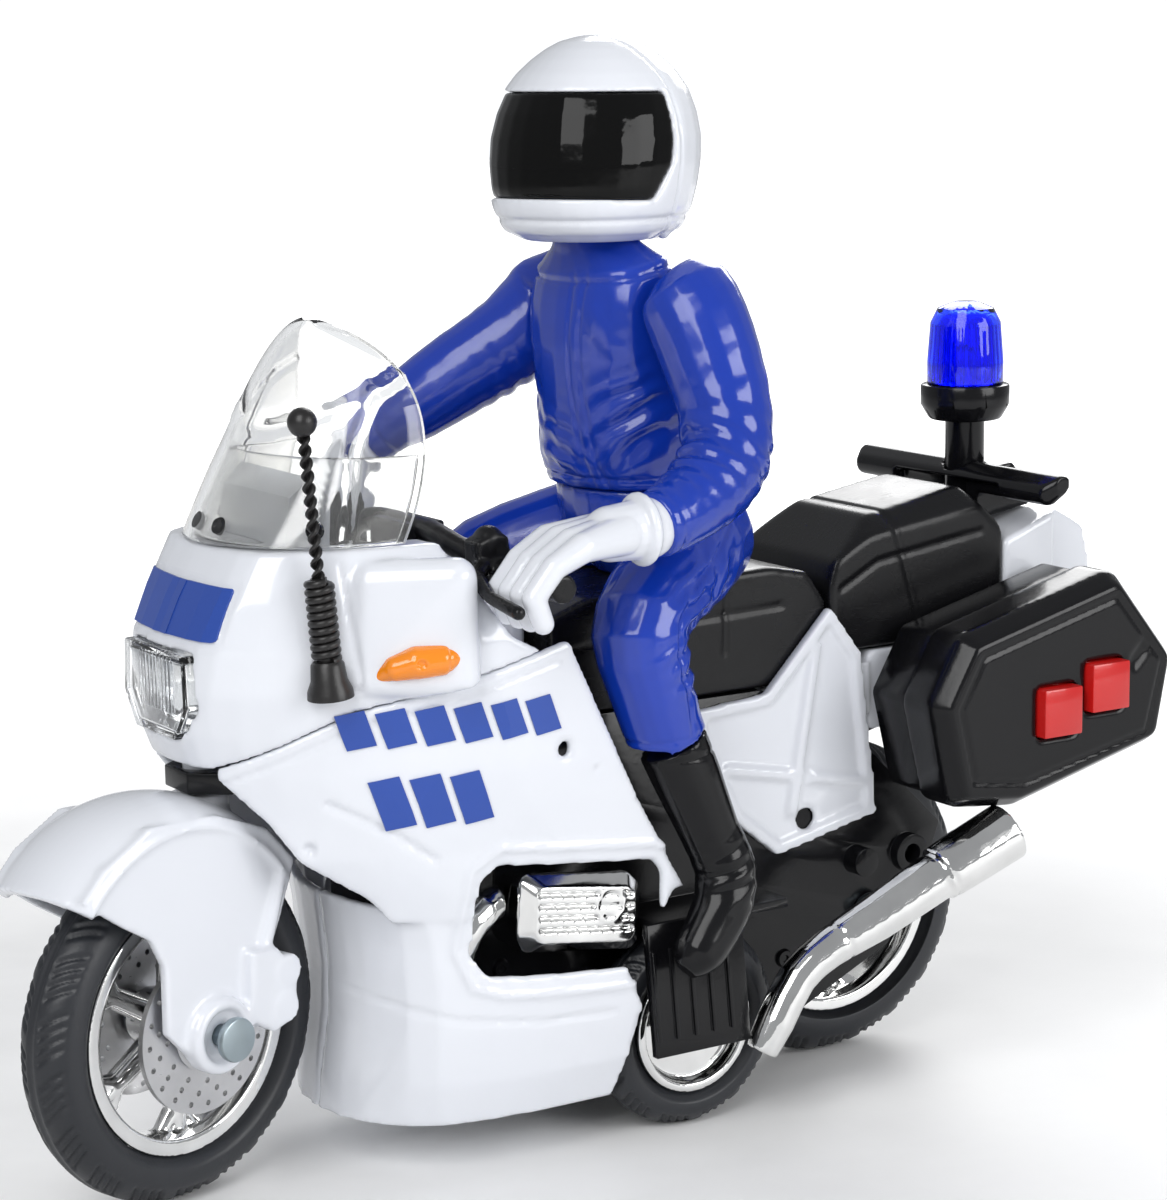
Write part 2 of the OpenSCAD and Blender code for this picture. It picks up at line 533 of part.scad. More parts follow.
// ---- seats, tail, rail and lamp ----
seat_outline = [[13, 62.02], [14.6, 70], [11, 76.6], [4, 79], [-8, 79.6], [-28, 80.4], [-35, 79],
    [-38.4, 74], [-37, 62.02]];
module seat() color("black") difference() {
    slab_y(-12.36, 12.36) round_poly(seat_outline, 1.4);
    slab_y(-11.4, 11.4) polygon([[10, 61], [11.4, 71], [8, 75], [-32, 76.6], [-34.4, 73], [-33, 61]]);
    block(11.3, 20, -20, 20, 60, 90);
}
module pillion_seat() color("black") meshed() difference() {
    hull() {
        slab_y(-12.36, 12.36) round_poly([[-39, 66], [-38.8, 76], [-40, 80], [-46, 83], [-68, 86],
            [-72.6, 82], [-72.6, 66]], 1.4);
        slab_y(-9, 9) round_poly([[-42, 67], [-42, 81], [-48, 86], [-66, 89], [-71, 85], [-71, 67]], 1.4);
    }
    slab_y(-10.6, 10.6) polygon([[-42, 60], [-42, 77], [-50, 81.4], [-66, 84], [-69.4, 80], [-69.4, 60]]);
    translate([lamp_x, 0, 60]) cylinder(h = 40, r = post_r + 0.03);
}
tail_panel = [[-13, 60.6], [-26, 61.6], [-37.8, 73.6], [-43.6, 66], [-46, 47], [-46.6, 40.6], [-28, 36.6],
    [-20, 43], [-14, 55]];
module tail_half() difference() {
    union() {
        difference() {
            slab_y(frame_w + 0.02, 14) polygon(tail_panel);
            slab_y(13.3, 15) offset(-1.6) polygon(tail_panel);
        }
        slab_y(13.2, 14) polygon([[-18.6, 51.6], [-44.4, 46.4], [-44.6, 45.2], [-18, 50.4]]);
        slab_y(13.2, 14) polygon([[-30, 42.8], [-31.4, 42.6], [-36, 68], [-34.6, 68]]);
        difference() {
            slab_y(0.01, 12.38) round_poly([[-46, 53], [-46, 65.6], [-72.8, 65.6], [-72.8, 80],
                [-84, 84], [-90, 80.6], [tail_end, 73], [-91.4, 65], [-86, 60.4], [-60, 55]], 1.4);
            slab_y(-1, 10.8) polygon([[-45, 52], [-45, 64], [-74.6, 64], [-74.6, 78.6], [-84, 81.8],
                [-88.6, 79], [-90.6, 73], [-89.6, 66], [-85.6, 62.2], [-60, 56.8], [-48, 50]]);
            block(-100, -83, 11, 13, 50, 90);
        }
        block(-45.9, -43.7, 8, 13, 56, 64);
    }
    cyl_y(-33.6, 41.4, 10, 20, 1.6);
    translate([lamp_x, 0, 78]) cylinder(h = 10, r = post_r + 0.01);
}
module tail_left() color("white") tail_half();
module tail_right() color("white") right() tail_half();

module grab_rail() color("black") meshed() difference() {
    union() {
        hull() {
            translate([-72.6, -23, 88.6]) rotate([-90, 0, 0]) cylinder(h = 46, r = 1.9, $fn = 20);
            translate([-74, -24.5, 90]) rotate([-90, 0, 0]) cylinder(h = 49, r = 1.4, $fn = 20);
        }
        slab_y(-5.6, 5.6) polygon([[-73, 82.4], [-72.2, 90], [-80, 91], [-84, 86], [-83.4, 84.04]]);
    }
    translate([lamp_x, 0, 70]) cylinder(h = 30, r = post_r + 0.03);
    slab_y(-13, 13) polygon([[-72.58, 60], [-72.58, 88.9], [-60, 90], [-60, 60]]);
    slab_y(-13, 13) polygon([[-72.5, 60], [-72.5, 80.2], [-84, 84.1], [-92, 81], [-92, 60]]);
}
module lamp_post() color("black") translate([lamp_x, 0, 78.02]) union() {
    cylinder(h = 20.2, r = post_r);
    translate([0, 0, 19.8]) cylinder(h = 2.4, r1 = 5.6, r2 = 7);
    translate([0, 0, 22.2]) cylinder(h = 3.2, r = 7);
}
module lamp_lens() color("blue", 0.6) translate([lamp_x, 0, lamp_z]) rotate_extrude($fn = 72)
    polygon([[lamp_r - 1.2, 0], [lamp_r, 0], [lamp_r, 3.4], [lamp_r - 0.5, 9.6], [lamp_r - 1.6, 11.8],
        [2, 12.8], [0, 12.8], [0, 11.6], [2, 11.6], [lamp_r - 2.4, 10.8], [lamp_r - 1.6, 9.2],
        [lamp_r - 1.2, 3.4]]);

// ---- panniers with the sound switches ----
pannier_side = [[-48.6, 45], [-45, 60], [-50.6, 69.4], [-79, 76.4], [tail_end + 1.6, 63], [-87.4, 50.4],
    [-60, 43.8]];
module pannier_inner() difference() {
    slab_y(14.6, 22.6) round_poly(pannier_side, 2);
    slab_y(16, 30) offset(-1.5) round_poly(pannier_side, 2);
}
module pannier_shells() color("black") union() {
    pannier_inner();
    right() pannier_inner();
}
module pannier_outer() difference() {
    hull() {
        slab_y(22.62, 29.4) offset(0.9) round_poly(pannier_side, 2);
        slab_y(29, pannier_w) offset(-1) round_poly(pannier_side, 2);
    }
    hull() {
        slab_y(22, 27.8) offset(-0.7) round_poly(pannier_side, 2);
        slab_y(27.6, pannier_w - 1.6) offset(-2.4) round_poly(pannier_side, 2);
    }
}
module button_window(x, z, grow) translate([x, 0, z]) slab_y(20, 40)
    square([button_s + grow, button_s + grow], center = true);
button_places = [[-66.6, 57.2], [-76, 60]];
module pannier_cover_left() color("black") meshed() difference() {
    pannier_outer();
    for (p = button_places) button_window(p[0], p[1], 0.5);
    slab_y(pannier_w - 0.5, 40) polygon([[-82, 61.4], [-85.4, 64.6], [-83.4, 66.4], [-80.4, 63.4]]);
}
module pannier_cover_right() color("black") right() meshed() pannier_outer();
module button(p) color("red") union() {
    translate([p[0], 0, p[1]]) slab_y(27.2, pannier_w + 1.5) square([button_s, button_s], center = true);
    translate([p[0], 0, p[1]]) slab_y(29.2, 30.5) square([button_s + 1.2, button_s + 1.2], center = true);
}
module button_front() button(button_places[0]);
module button_rear() button(button_places[1]);
module circuit_board() color("green") slab_y(24.4, 25.6) polygon([[-57, 49], [-57, 65], [-81.4, 69],
    [-84, 62], [-82, 51]]);
module button_cells() color("silver") for (i = [0 : 2])
    cyl_y(-62, 57, -16.02 - (i + 1) * cell_h - i * 0.02, -16.02 - i * (cell_h + 0.02), cell_r);
module speaker() color("gray") union() {
    cyl_y(-70, 59.4, 16.02, 18, 10);
    cyl_y(-70, 59.4, 18, 21, 6.5);
}

// ---- handlebar ----
module bar_half() {
    limb([[27, -1, 90.4, 1.7, 1.7], [27, 7, 90.4, 1.7, 1.7], [27, 13, 89.4, 1.7, 1.7],
        [25.4, 20, 87.2, 1.7, 1.7], [24.4, 26, grip_z, 1.7, 1.7]], [0, 0, 1], 2, 12);
    cyl_y(grip_x, grip_z, 25.4, 37.6, 2, $fn = 20);
    cyl_y(grip_x, grip_z, 25.4, 26.4, 3, $fn = 20);
    slab_y(18.6, 22.4) round_poly([[22.4, 84.6], [27.8, 84.6], [28.6, 91], [23.4, 91.6]], 0.8, $fn = 16);
}
module handlebar() color("black") meshed() difference() {
    union() {
        bar_half();
        right() bar_half();
        block(23.4, 30, -5, 5, 87.22, 91.4);
    }
    pod_solid(0.1);
    right() pod_solid(0.1);
    panel(nose_levels, 0.1, 4);
}

// ---- rider ----
module jacket() color("royalblue") difference() {
    meshed() jacket_shell();
    translate([neck_x, 0, 110]) cylinder(h = 30, r = 3.1, $fn = 32);
    cyl_y(shoulder_x, shoulder_z, -20, 20, 2.4 + run_gap, $fn = 32);
}
module jacket_shell() difference() {
    intersection() {
        union() {
            stack([[-11, 0, 93.6, 10.8, 12.6, 2.3], [-9.6, 0, 98, 11, 13, 2.2],
                [-8.8, 0, 106, 10.2, 13.4, 2.2], [-8.4, 0, 114, 10, 14.6, 2.3],
                [-8.2, 0, 120, 9.4, 14.6, 2.4], [-7.4, 0, 124.6, 7.8, 13, 2.3],
                [-6.4, 0, 127.4, 6.6, 9.4, 2], [-5.8, 0, 128.6, 6.2, 7, 2],
                [neck_x, 0, 130.4, 6, 6.4, 2]], 2, 24);
        }
        union() {
            block(-40, 30, -shoulder_w, shoulder_w, 104, 132);
            block(-40, 30, -30, 30, 90, 104);
        }
    }
    stack([[-11, 0, 92, 8.8, 10.6, 2.3], [-9.6, 0, 98, 9, 11, 2.2], [-8.8, 0, 106, 8.2, 11.2, 2.2],
        [-8.4, 0, 114, 8, 11.2, 2.3], [-8.2, 0, 119, 7, 11.2, 2.4], [-7.4, 0, 122.6, 5.4, 9, 2.3]], 1, 20);
}
module leg_solid() limb([[-19, 4, 86, 8, 8.6], [-16.6, 9.6, 85.6, 8.4, 8.8], [-8, 17, 83, 7.8, 7.6],
    [0.4, 22.6, 79.6, 7, 7], [3.6, 24.6, 75.4, 6.9, 7], [2.4, 25, 69, 6.4, 6.2], [0.6, 25.2, 63, 5.8, 5.8],
    [-0.6, 25.4, 59.8, 5.6, 5.8]], [0, 1, 0], 2, 20);
module trousers() color("royalblue") meshed() difference() {
    union() {
        leg_solid();
        right() leg_solid();
        stack([[-16.4, 0, 79, 8, 10, 2.4], [-15.6, 0, 84, 11.4, 13, 2.4], [-13, 0, 89, 11.2, 13, 2.3],
            [-11, 0, 93.55, 9.8, 11.6, 2.3]], 2, 26);
    }
    slab_y(-12.9, 12.9) polygon([[13, 60], [14.7, 70], [11.1, 76.7], [4, 79.1], [-8, 79.7], [-28, 80.5],
        [-35, 79.1], [-40, 74], [-40, 60]]);
    slab_y(-15, 15) polygon([[-13, 60.6], [-26, 62], [-38, 74], [-20, 40], [8, 40], [8, 62.1]]);
    slab_y(-30, 30) polygon([[30, 40], [30, 59.6], [-30, 59.6], [-30, 40]]);
    block(-40, 30, -30, 30, 93.57, 110);
}
module boot_solid() limb([[-1.2, 25.4, 59.58, 4.9, 5.2], [-3.6, 25.8, 54, 4.7, 5], [-7, 26.2, 46, 4.2, 4.4],
    [-9.2, 26.8, 40.6, 4.3, 4.6], [-8.4, 27.6, 36, 4.2, 4.6], [-5.6, 28.3, 32, 3.8, 4.2],
    [-2.6, 28.8, 29, 3.4, 3.6], [-0.6, 29, 27.2, 1.6, 1.8]], [0, 1, 0], 2, 18);
module boots() color("black") meshed() difference() {
    union() {
        boot_solid();
        right() boot_solid();
    }
    for (s = [0, 1]) mirror([0, s, 0]) {
        slab_x(-30, 20) polygon([[12, 33], [23.3, 33], [26.2, 12], [12, 12]]);
        panel(belly_levels, 0.2, 4);
        panel(side_levels, 0.2, 4);
    }
}

module shoulder_cut() block(-60, 60, -60, shoulder_w + gap, 60, 160);
module grip_slot() hull() {
    cyl_y(grip_x, grip_z, 10, 60, 2.45);
    cyl_y(grip_x - 9, grip_z - 9, 10, 60, 4.2);
}
module shoulder_peg() cyl_y(shoulder_x, shoulder_z, 9, shoulder_w + 2, 2.4, $fn = 32);
module sleeve_left() limb([[-9.6, 14, 124.6, 3, 4], [-10.4, 15.6, 122.6, 6, 7], [-11.2, 18, 118, 7.2, 7.4],
    [-12, 20.6, 112, 7, 7.2], [-12, 23.6, 105, 6.6, 6.8], [-9.6, 26.4, 99, 6.4, 6.6],
    [-4, 29, 95.4, 5.8, 5.8], [3, 31.4, 93, 5, 5], [6.4, 32.2, 92.2, 4.6, 4.6]], [0, 1, 0], 2, 20);
module sleeve_right() limb([[-8.6, 14, 124.6, 3, 4], [-9.4, 15.6, 122.6, 6, 7], [-8, 18, 118, 7.2, 7.4],
    [-3, 20.6, 113, 6.9, 7], [4, 23.4, 108.4, 6.4, 6.5], [10, 26.6, 104, 5.8, 5.8],
    [14, 29.6, 100.6, 5, 5], [16, 31, 98.6, 4.6, 4.6]], [0, 1, 0], 2, 20);
module arm_left() color("royalblue") union() {
    meshed() difference() {
        sleeve_left();
        shoulder_cut();
    }
    shoulder_peg();
}
module glove_left() color("white") meshed() difference() {
    limb([[6.46, 32.22, 92.18, 4.6, 4.7], [8, 32.4, 92, 5.2, 5.4], [13, 33.2, 91.4, 5, 4.6],
        [19, 33.8, 90.6, 5, 4.4], [24, 34, 88.6, 4.9, 4.2], [27.6, 34, 84.6, 4.5, 3.2],
        [27.8, 34, 81, 4, 2]], [0, 1, 0], 2, 20);
    sleeve_left();
    grip_slot();
}
module arm_right() color("royalblue") right() union() {
    meshed() difference() {
        sleeve_right();
        shoulder_cut();
    }
    shoulder_peg();
}
module glove_right() color("white") meshed() right() difference() {
    limb([[16.05, 31.03, 98.55, 4.5, 4.5], [17.4, 31.9, 97, 5.2, 5.2], [20, 33, 94, 5, 4.8],
        [24.4, 34, 90, 4.9, 4.4], [27.2, 34, 86, 4.5, 3.6], [27.6, 34, 81.6, 4, 2]], [0, 1, 0], 2, 20);
    sleeve_right();
    grip_slot();
}

module turned_head() translate([neck_x, 0, 0]) rotate(head_turn) children();
module helmet_form(shrink, k = 2, n = 32) stack([[0.6, 0, 129.4 + shrink, 10.4 - shrink, 9.4 - shrink, 2.2],
    [0.8, 0, 131.6 + shrink * 0.8, 14 - shrink, 12.6 - shrink, 2.2],
    [0.6, 0, 137, 15.8 - shrink, 14.4 - shrink, 2.2], [0, 0, 144, 16 - shrink, 15 - shrink, 2.1],
    [-0.6, 0, 150.6, 14 - shrink, 13.2 - shrink, 2], [-1, 0, 155, 10 - shrink, 9.4 - shrink, 2],
    [-1, 0, 157.6 - shrink * 0.8, 5.6 - shrink * 0.7, 5.2 - shrink * 0.7, 2],
    [-1, 0, 158.4 - shrink, 1.6 - shrink * 0.3, 1.5 - shrink * 0.3, 2]], k, n);
module helmet() color("white") meshed() turned_head() difference() {
    helmet_form(0);
    helmet_form(1.7, 1, 24);
    translate([0, 0, 120]) cylinder(h = 14, r = 7.4, $fn = 32);
    visor_window(0);
}
module visor_window(shrink) intersection() {
    slab_y(-30, 30) round_poly([[2, 150.4 - shrink], [30, 150.8 - shrink], [30, 136.4 + shrink],
        [6 + shrink, 135.4 + shrink], [2.6 + shrink, 141]], 0.5);
    block(0, 40, -40, 40, 120, 160);
}
module visor() color("black") meshed() turned_head() intersection() {
    difference() {
        helmet_form(0.5);
        helmet_form(1.68, 1, 24);
    }
    visor_window(0.05);
}
module head_core() color("royalblue") turned_head() union() {
    translate([0, 0, 121]) cylinder(h = 11, r = 3);
    translate([0, 0, neck_z]) cylinder(h = 3, r = 5.6);
    translate([0, 0, 131.3]) cylinder(h = 11.7, r1 = 7.8, r2 = 11);
    translate([0, 0, 143]) cylinder(h = 6, r1 = 11, r2 = 8);
}

frame_left();
frame_right();
fairing_left();
fairing_right();
nose_cowl();
graphics();
tank_cover();
dash_panel();
windshield();
shield_skirt();
headlamp_reflector();
headlamp_lens();
bulbs();
indicators();
antenna();
steering_plate();
front_fork();
front_axle();
front_rim();
front_tyre();
brake_discs();
handlebar();
engine_covers();
header_pipes();
exhausts();
motor_case_left();
motor_case_right();
drive_axle();
mid_rims();
mid_tyres();
idler_gear();
flywheel();
rear_axle();
rear_rim();
rear_tyre();
seat();
pillion_seat();
tail_left();
tail_right();
grab_rail();
lamp_post();
lamp_lens();
pannier_shells();
pannier_cover_left();
pannier_cover_right();
button_cells();
circuit_board();
speaker();
button_front();
button_rear();
jacket();
trousers();
boots();
arm_left();
arm_right();
glove_left();
glove_right();
head_core();
helmet();
visor();
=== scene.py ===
"""Looks of a toy police motorcycle with its rider: finishes, fine pieces, floor, light and camera."""

import json
import math

import bmesh
import bpy
import numpy as np
from mathutils import Matrix, Vector


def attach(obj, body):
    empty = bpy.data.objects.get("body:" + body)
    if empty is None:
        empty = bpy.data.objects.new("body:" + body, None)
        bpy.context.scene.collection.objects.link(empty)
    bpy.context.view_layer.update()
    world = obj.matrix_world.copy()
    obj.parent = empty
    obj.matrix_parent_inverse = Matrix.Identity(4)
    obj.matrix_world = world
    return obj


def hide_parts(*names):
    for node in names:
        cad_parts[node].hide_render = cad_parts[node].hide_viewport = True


bl_info = {
    "name": "Toy Police Motorcycle",
    "version": (1, 0, 0),
    "blender": (4, 5, 0),
    "location": "3D View > Sidebar > Motorcycle",
    "description": "Finishes and fine pieces of a moulded toy motorcycle with its rider",
    "category": "Add Mesh",
}

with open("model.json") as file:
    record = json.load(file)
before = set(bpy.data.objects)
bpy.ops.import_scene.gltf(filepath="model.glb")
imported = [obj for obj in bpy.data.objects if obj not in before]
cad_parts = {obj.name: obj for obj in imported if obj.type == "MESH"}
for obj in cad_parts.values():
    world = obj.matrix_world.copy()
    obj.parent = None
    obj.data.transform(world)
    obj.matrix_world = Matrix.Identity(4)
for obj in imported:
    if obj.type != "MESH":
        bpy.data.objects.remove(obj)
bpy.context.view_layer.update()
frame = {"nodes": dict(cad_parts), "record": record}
BODY_OF = {node: body for body, group in frame["record"]["behaviour"]["bodies"].items() for node in group}
MM = 0.001


# ---- sizes and colours a user would change ----
class FinishSettings(bpy.types.PropertyGroup):
    """Colours of the mouldings."""
    white: bpy.props.FloatVectorProperty(
        name="White", description="Body panels, helmet and gloves", subtype="COLOR",
        default=(0.75, 0.77, 0.82), min=0, max=1)
    blue: bpy.props.FloatVectorProperty(
        name="Blue", description="The rider's suit", subtype="COLOR",
        default=(0.006, 0.04, 0.40), min=0, max=1)
    black: bpy.props.FloatVectorProperty(
        name="Black", description="Chassis, seats and luggage", subtype="COLOR",
        default=(0.005, 0.005, 0.006), min=0, max=1)
    orange: bpy.props.FloatVectorProperty(
        name="Orange", description="Indicator lenses", subtype="COLOR",
        default=(0.9, 0.26, 0.01), min=0, max=1)
    red: bpy.props.FloatVectorProperty(
        name="Red", description="Push-buttons", subtype="COLOR",
        default=(0.56, 0.011, 0.01), min=0, max=1)


class StageSettings(bpy.types.PropertyGroup):
    """Camera and floor."""
    azimuth: bpy.props.FloatProperty(
        name="Azimuth", description="Direction the camera stands in", subtype="ANGLE",
        default=math.radians(147.53))
    elevation: bpy.props.FloatProperty(
        name="Elevation", description="Camera's height above the horizon", subtype="ANGLE",
        default=math.radians(10.17))
    roll: bpy.props.FloatProperty(
        name="Roll", description="Tilt of the picture", subtype="ANGLE", default=math.radians(-0.76))
    distance: bpy.props.FloatProperty(
        name="Distance", description="From the camera to the front axle's plane", unit="LENGTH",
        default=0.44854)
    aside: bpy.props.FloatProperty(
        name="Aside", description="Sideways offset of the picture's middle", unit="LENGTH", default=0.05802)
    above: bpy.props.FloatProperty(
        name="Above", description="Upward offset of the picture's middle", unit="LENGTH", default=0.08168)
    lens: bpy.props.FloatProperty(
        name="Lens", description="Focal length in millimetres", default=95.9)
    floor_size: bpy.props.FloatProperty(
        name="Floor size", description="Side of the square floor", unit="LENGTH", default=6.0)


# ---- small helpers ----
def deselect():
    """Leave nothing selected."""
    bpy.ops.object.select_all(action="DESELECT")


def take(piece):
    """Select one object alone and make it active."""
    deselect()
    piece.select_set(True)
    bpy.context.view_layer.objects.active = piece


def merged_copy(node, name):
    """A new object with the node's mesh, its loose triangles joined up."""
    piece = bpy.data.objects.new(name, frame["nodes"][node].data.copy())
    bpy.context.scene.collection.objects.link(piece)
    take(piece)
    bpy.ops.object.mode_set(mode="EDIT")
    bpy.ops.mesh.select_all(action="SELECT")
    bpy.ops.mesh.remove_doubles(threshold=2e-6)
    bpy.ops.mesh.customdata_custom_splitnormals_clear()
    bpy.ops.object.mode_set(mode="OBJECT")
    return piece


def settle(piece, body, slot, *nodes, material=None):
    """Give a finished piece its body and the material of its record slot, and hide the nodes it stands for.
    """
    piece.data.materials.clear()
    piece.data.materials.append(material or FINISH[slot])
    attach(piece, body)
    if nodes:
        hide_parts(*nodes)
    return piece


# ---- shader node groups ----
def new_group(name, inputs, outputs):
    """Start a shader node group; inputs are (name, kind, value) and outputs (name, kind)."""
    group = bpy.data.node_groups.new(name, "ShaderNodeTree")
    for label, kind, value in inputs:
        socket = group.interface.new_socket(name=label, in_out="INPUT", socket_type="NodeSocket" + kind)
        socket.default_value = value
    for label, kind in outputs:
        group.interface.new_socket(name=label, in_out="OUTPUT", socket_type="NodeSocket" + kind)
    return group, group.nodes.new("NodeGroupInput"), group.nodes.new("NodeGroupOutput")


def math_node(tree, operation, a, b=None):
    """A Math node; a and b are sockets or numbers. Returns its output socket."""
    node = tree.nodes.new("ShaderNodeMath")
    node.operation = operation
    for index, value in enumerate((a, b)):
        if value is None:
            continue
        if isinstance(value, (int, float)):
            node.inputs[index].default_value = value
        else:
            tree.links.new(value, node.inputs[index])
    return node.outputs[0]


def noise_node(tree, vector, scale, detail=2.0):
    """A Noise texture on the given vector. Returns its value socket."""
    node = tree.nodes.new("ShaderNodeTexNoise")
    node.inputs["Detail"].default_value = detail
    if isinstance(scale, (int, float)):
        node.inputs["Scale"].default_value = scale
    else:
        tree.links.new(scale, node.inputs["Scale"])
    tree.links.new(vector, node.inputs["Vector"])
    return node.outputs["Fac"]


def object_coords(tree):
    """Object coordinates of the shaded point."""
    return tree.nodes.new("ShaderNodeTexCoord").outputs["Object"]


def map_range(tree, value, low, high, out_low, out_high):
    """A clamped Map Range node. Returns its output socket."""
    node = tree.nodes.new("ShaderNodeMapRange")
    for label, number in (("From Min", low), ("From Max", high), ("To Min", out_low), ("To Max", out_high)):
        if isinstance(number, (int, float)):
            node.inputs[label].default_value = number
        else:
            tree.links.new(number, node.inputs[label])
    tree.links.new(value, node.inputs["Value"])
    return node.outputs["Result"]


def mix_colour(tree, factor, a, b, blend="MIX"):
    """A colour Mix node. Returns its output socket."""
    node = tree.nodes.new("ShaderNodeMix")
    node.data_type = "RGBA"
    node.blend_type = blend
    for label, value in (("Factor", factor), ("A", a), ("B", b)):
        kind = "VALUE" if label == "Factor" else "RGBA"
        socket = next(s for s in node.inputs if s.name == label and s.type == kind)
        if isinstance(value, (int, float)):
            socket.default_value = value
        elif isinstance(value, (tuple, list)):
            socket.default_value = (*value[:3], 1)
        else:
            tree.links.new(value, socket)
    return next(s for s in node.outputs if s.type == "RGBA")


def build_mould_skin():
    """Moulded plastic: cloudy tone, flow marks, fine scuffs and a faint orange peel."""
    group, start, end = new_group(
        "mould_skin",
        [("Colour", "Color", (0.5, 0.5, 0.5, 1)), ("Shade", "Float", 0.06), ("Roughness", "Float", 0.2),
         ("Scuff", "Float", 0.1), ("Peel Scale", "Float", 900.0)],
        [("Colour", "Color"), ("Roughness", "Float"), ("Height", "Float")])
    where = object_coords(group)
    cloud = noise_node(group, where, 34.0, 3.0)
    tone = math_node(group, "MULTIPLY", map_range(group, cloud, 0.3, 0.7, 0, 1), start.outputs["Shade"])
    darker = mix_colour(group, tone, start.outputs["Colour"], (0.0, 0.0, 0.0))
    stretch = group.nodes.new("ShaderNodeMapping")
    stretch.inputs["Scale"].default_value = (260, 900, 2400)
    stretch.inputs["Rotation"].default_value = (0.5, 0.3, 0.8)
    group.links.new(where, stretch.inputs["Vector"])
    hair = map_range(group, noise_node(group, stretch.outputs["Vector"], 1.0, 1.0), 0.62, 0.72, 0, 1)
    patch = map_range(group, noise_node(group, where, 90.0, 2.0), 0.45, 0.75, 0, 1)
    marks = math_node(group, "ADD", math_node(group, "MULTIPLY", hair, 0.5), patch)
    scuff = math_node(group, "MULTIPLY", marks, start.outputs["Scuff"])
    rough = math_node(group, "ADD", start.outputs["Roughness"], scuff)
    peel = noise_node(group, where, start.outputs["Peel Scale"], 1.0)
    group.links.new(darker, end.inputs["Colour"])
    group.links.new(rough, end.inputs["Roughness"])
    group.links.new(peel, end.inputs["Height"])
    return group


def build_edge_wear():
    """Mask that is 1 on sharp outer edges, broken up by noise."""
    group, start, end = new_group(
        "edge_wear", [("Amount", "Float", 0.5), ("Grain", "Float", 500.0)], [("Mask", "Float")])
    bevel = group.nodes.new("ShaderNodeBevel")
    bevel.samples = 4
    bevel.inputs["Radius"].default_value = 0.35 * MM
    geometry = group.nodes.new("ShaderNodeNewGeometry")
    dot = group.nodes.new("ShaderNodeVectorMath")
    dot.operation = "DOT_PRODUCT"
    group.links.new(bevel.outputs["Normal"], dot.inputs[0])
    group.links.new(geometry.outputs["Normal"], dot.inputs[1])
    turn = map_range(group, dot.outputs["Value"], 0.995, 0.9, 0, 1)
    speckle = noise_node(group, object_coords(group), start.outputs["Grain"], 3.0)
    grain = map_range(group, speckle, 0.4, 0.7, 0, 1)
    mask = math_node(group, "MULTIPLY", math_node(group, "MULTIPLY", turn, grain), start.outputs["Amount"])
    group.links.new(mask, end.inputs["Mask"])
    return group


def build_metal_grain():
    """Rolled or brushed metal: streaks along one direction."""
    group, start, end = new_group(
        "metal_grain",
        [("Colour", "Color", (0.6, 0.6, 0.6, 1)), ("Roughness", "Float", 0.2), ("Spread", "Float", 0.1),
         ("Streak", "Vector", (200, 3000, 3000))],
        [("Colour", "Color"), ("Roughness", "Float"), ("Height", "Float")])
    where = object_coords(group)
    scaled = group.nodes.new("ShaderNodeVectorMath")
    scaled.operation = "MULTIPLY"
    group.links.new(where, scaled.inputs[0])
    group.links.new(start.outputs["Streak"], scaled.inputs[1])
    streak = noise_node(group, scaled.outputs["Vector"], 1.0, 3.0)
    cloud = noise_node(group, where, 160.0, 3.0)
    marks = math_node(group, "MULTIPLY", math_node(group, "ADD", streak, cloud), start.outputs["Spread"])
    rough = math_node(group, "ADD", start.outputs["Roughness"], marks)
    tone = map_range(group, cloud, 0.3, 0.7, 0.0, 0.16)
    dull = mix_colour(group, tone, start.outputs["Colour"], (0.08, 0.08, 0.09))
    group.links.new(dull, end.inputs["Colour"])
    group.links.new(rough, end.inputs["Roughness"])
    group.links.new(streak, end.inputs["Height"])
    return group


GROUPS = {}


def place_group(tree, name, **values):
    """Put a node group in a material and set its inputs by name."""
    if name not in GROUPS:
        GROUPS[name] = {"mould_skin": build_mould_skin, "edge_wear": build_edge_wear,
                        "metal_grain": build_metal_grain}[name]()
    node = tree.nodes.new("ShaderNodeGroup")
    node.node_tree = GROUPS[name]
    for label, value in values.items():
        node.inputs[label.replace("_", " ")].default_value = value
    return node


def new_material(name):
    """An empty node material with a Principled shader. Returns material, tree and shader."""
    material = bpy.data.materials.new(name)
    material.use_nodes = True
    tree = material.node_tree
    return material, tree, tree.nodes["Principled BSDF"]


def bump(tree, shader, height, distance, strength=0.5):
    """Feed a height through a Bump node into the shader's normal."""
    node = tree.nodes.new("ShaderNodeBump")
    node.inputs["Distance"].default_value = distance
    node.inputs["Strength"].default_value = strength
    tree.links.new(height, node.inputs["Height"])
    tree.links.new(node.outputs["Normal"], shader.inputs["Normal"])
    return node


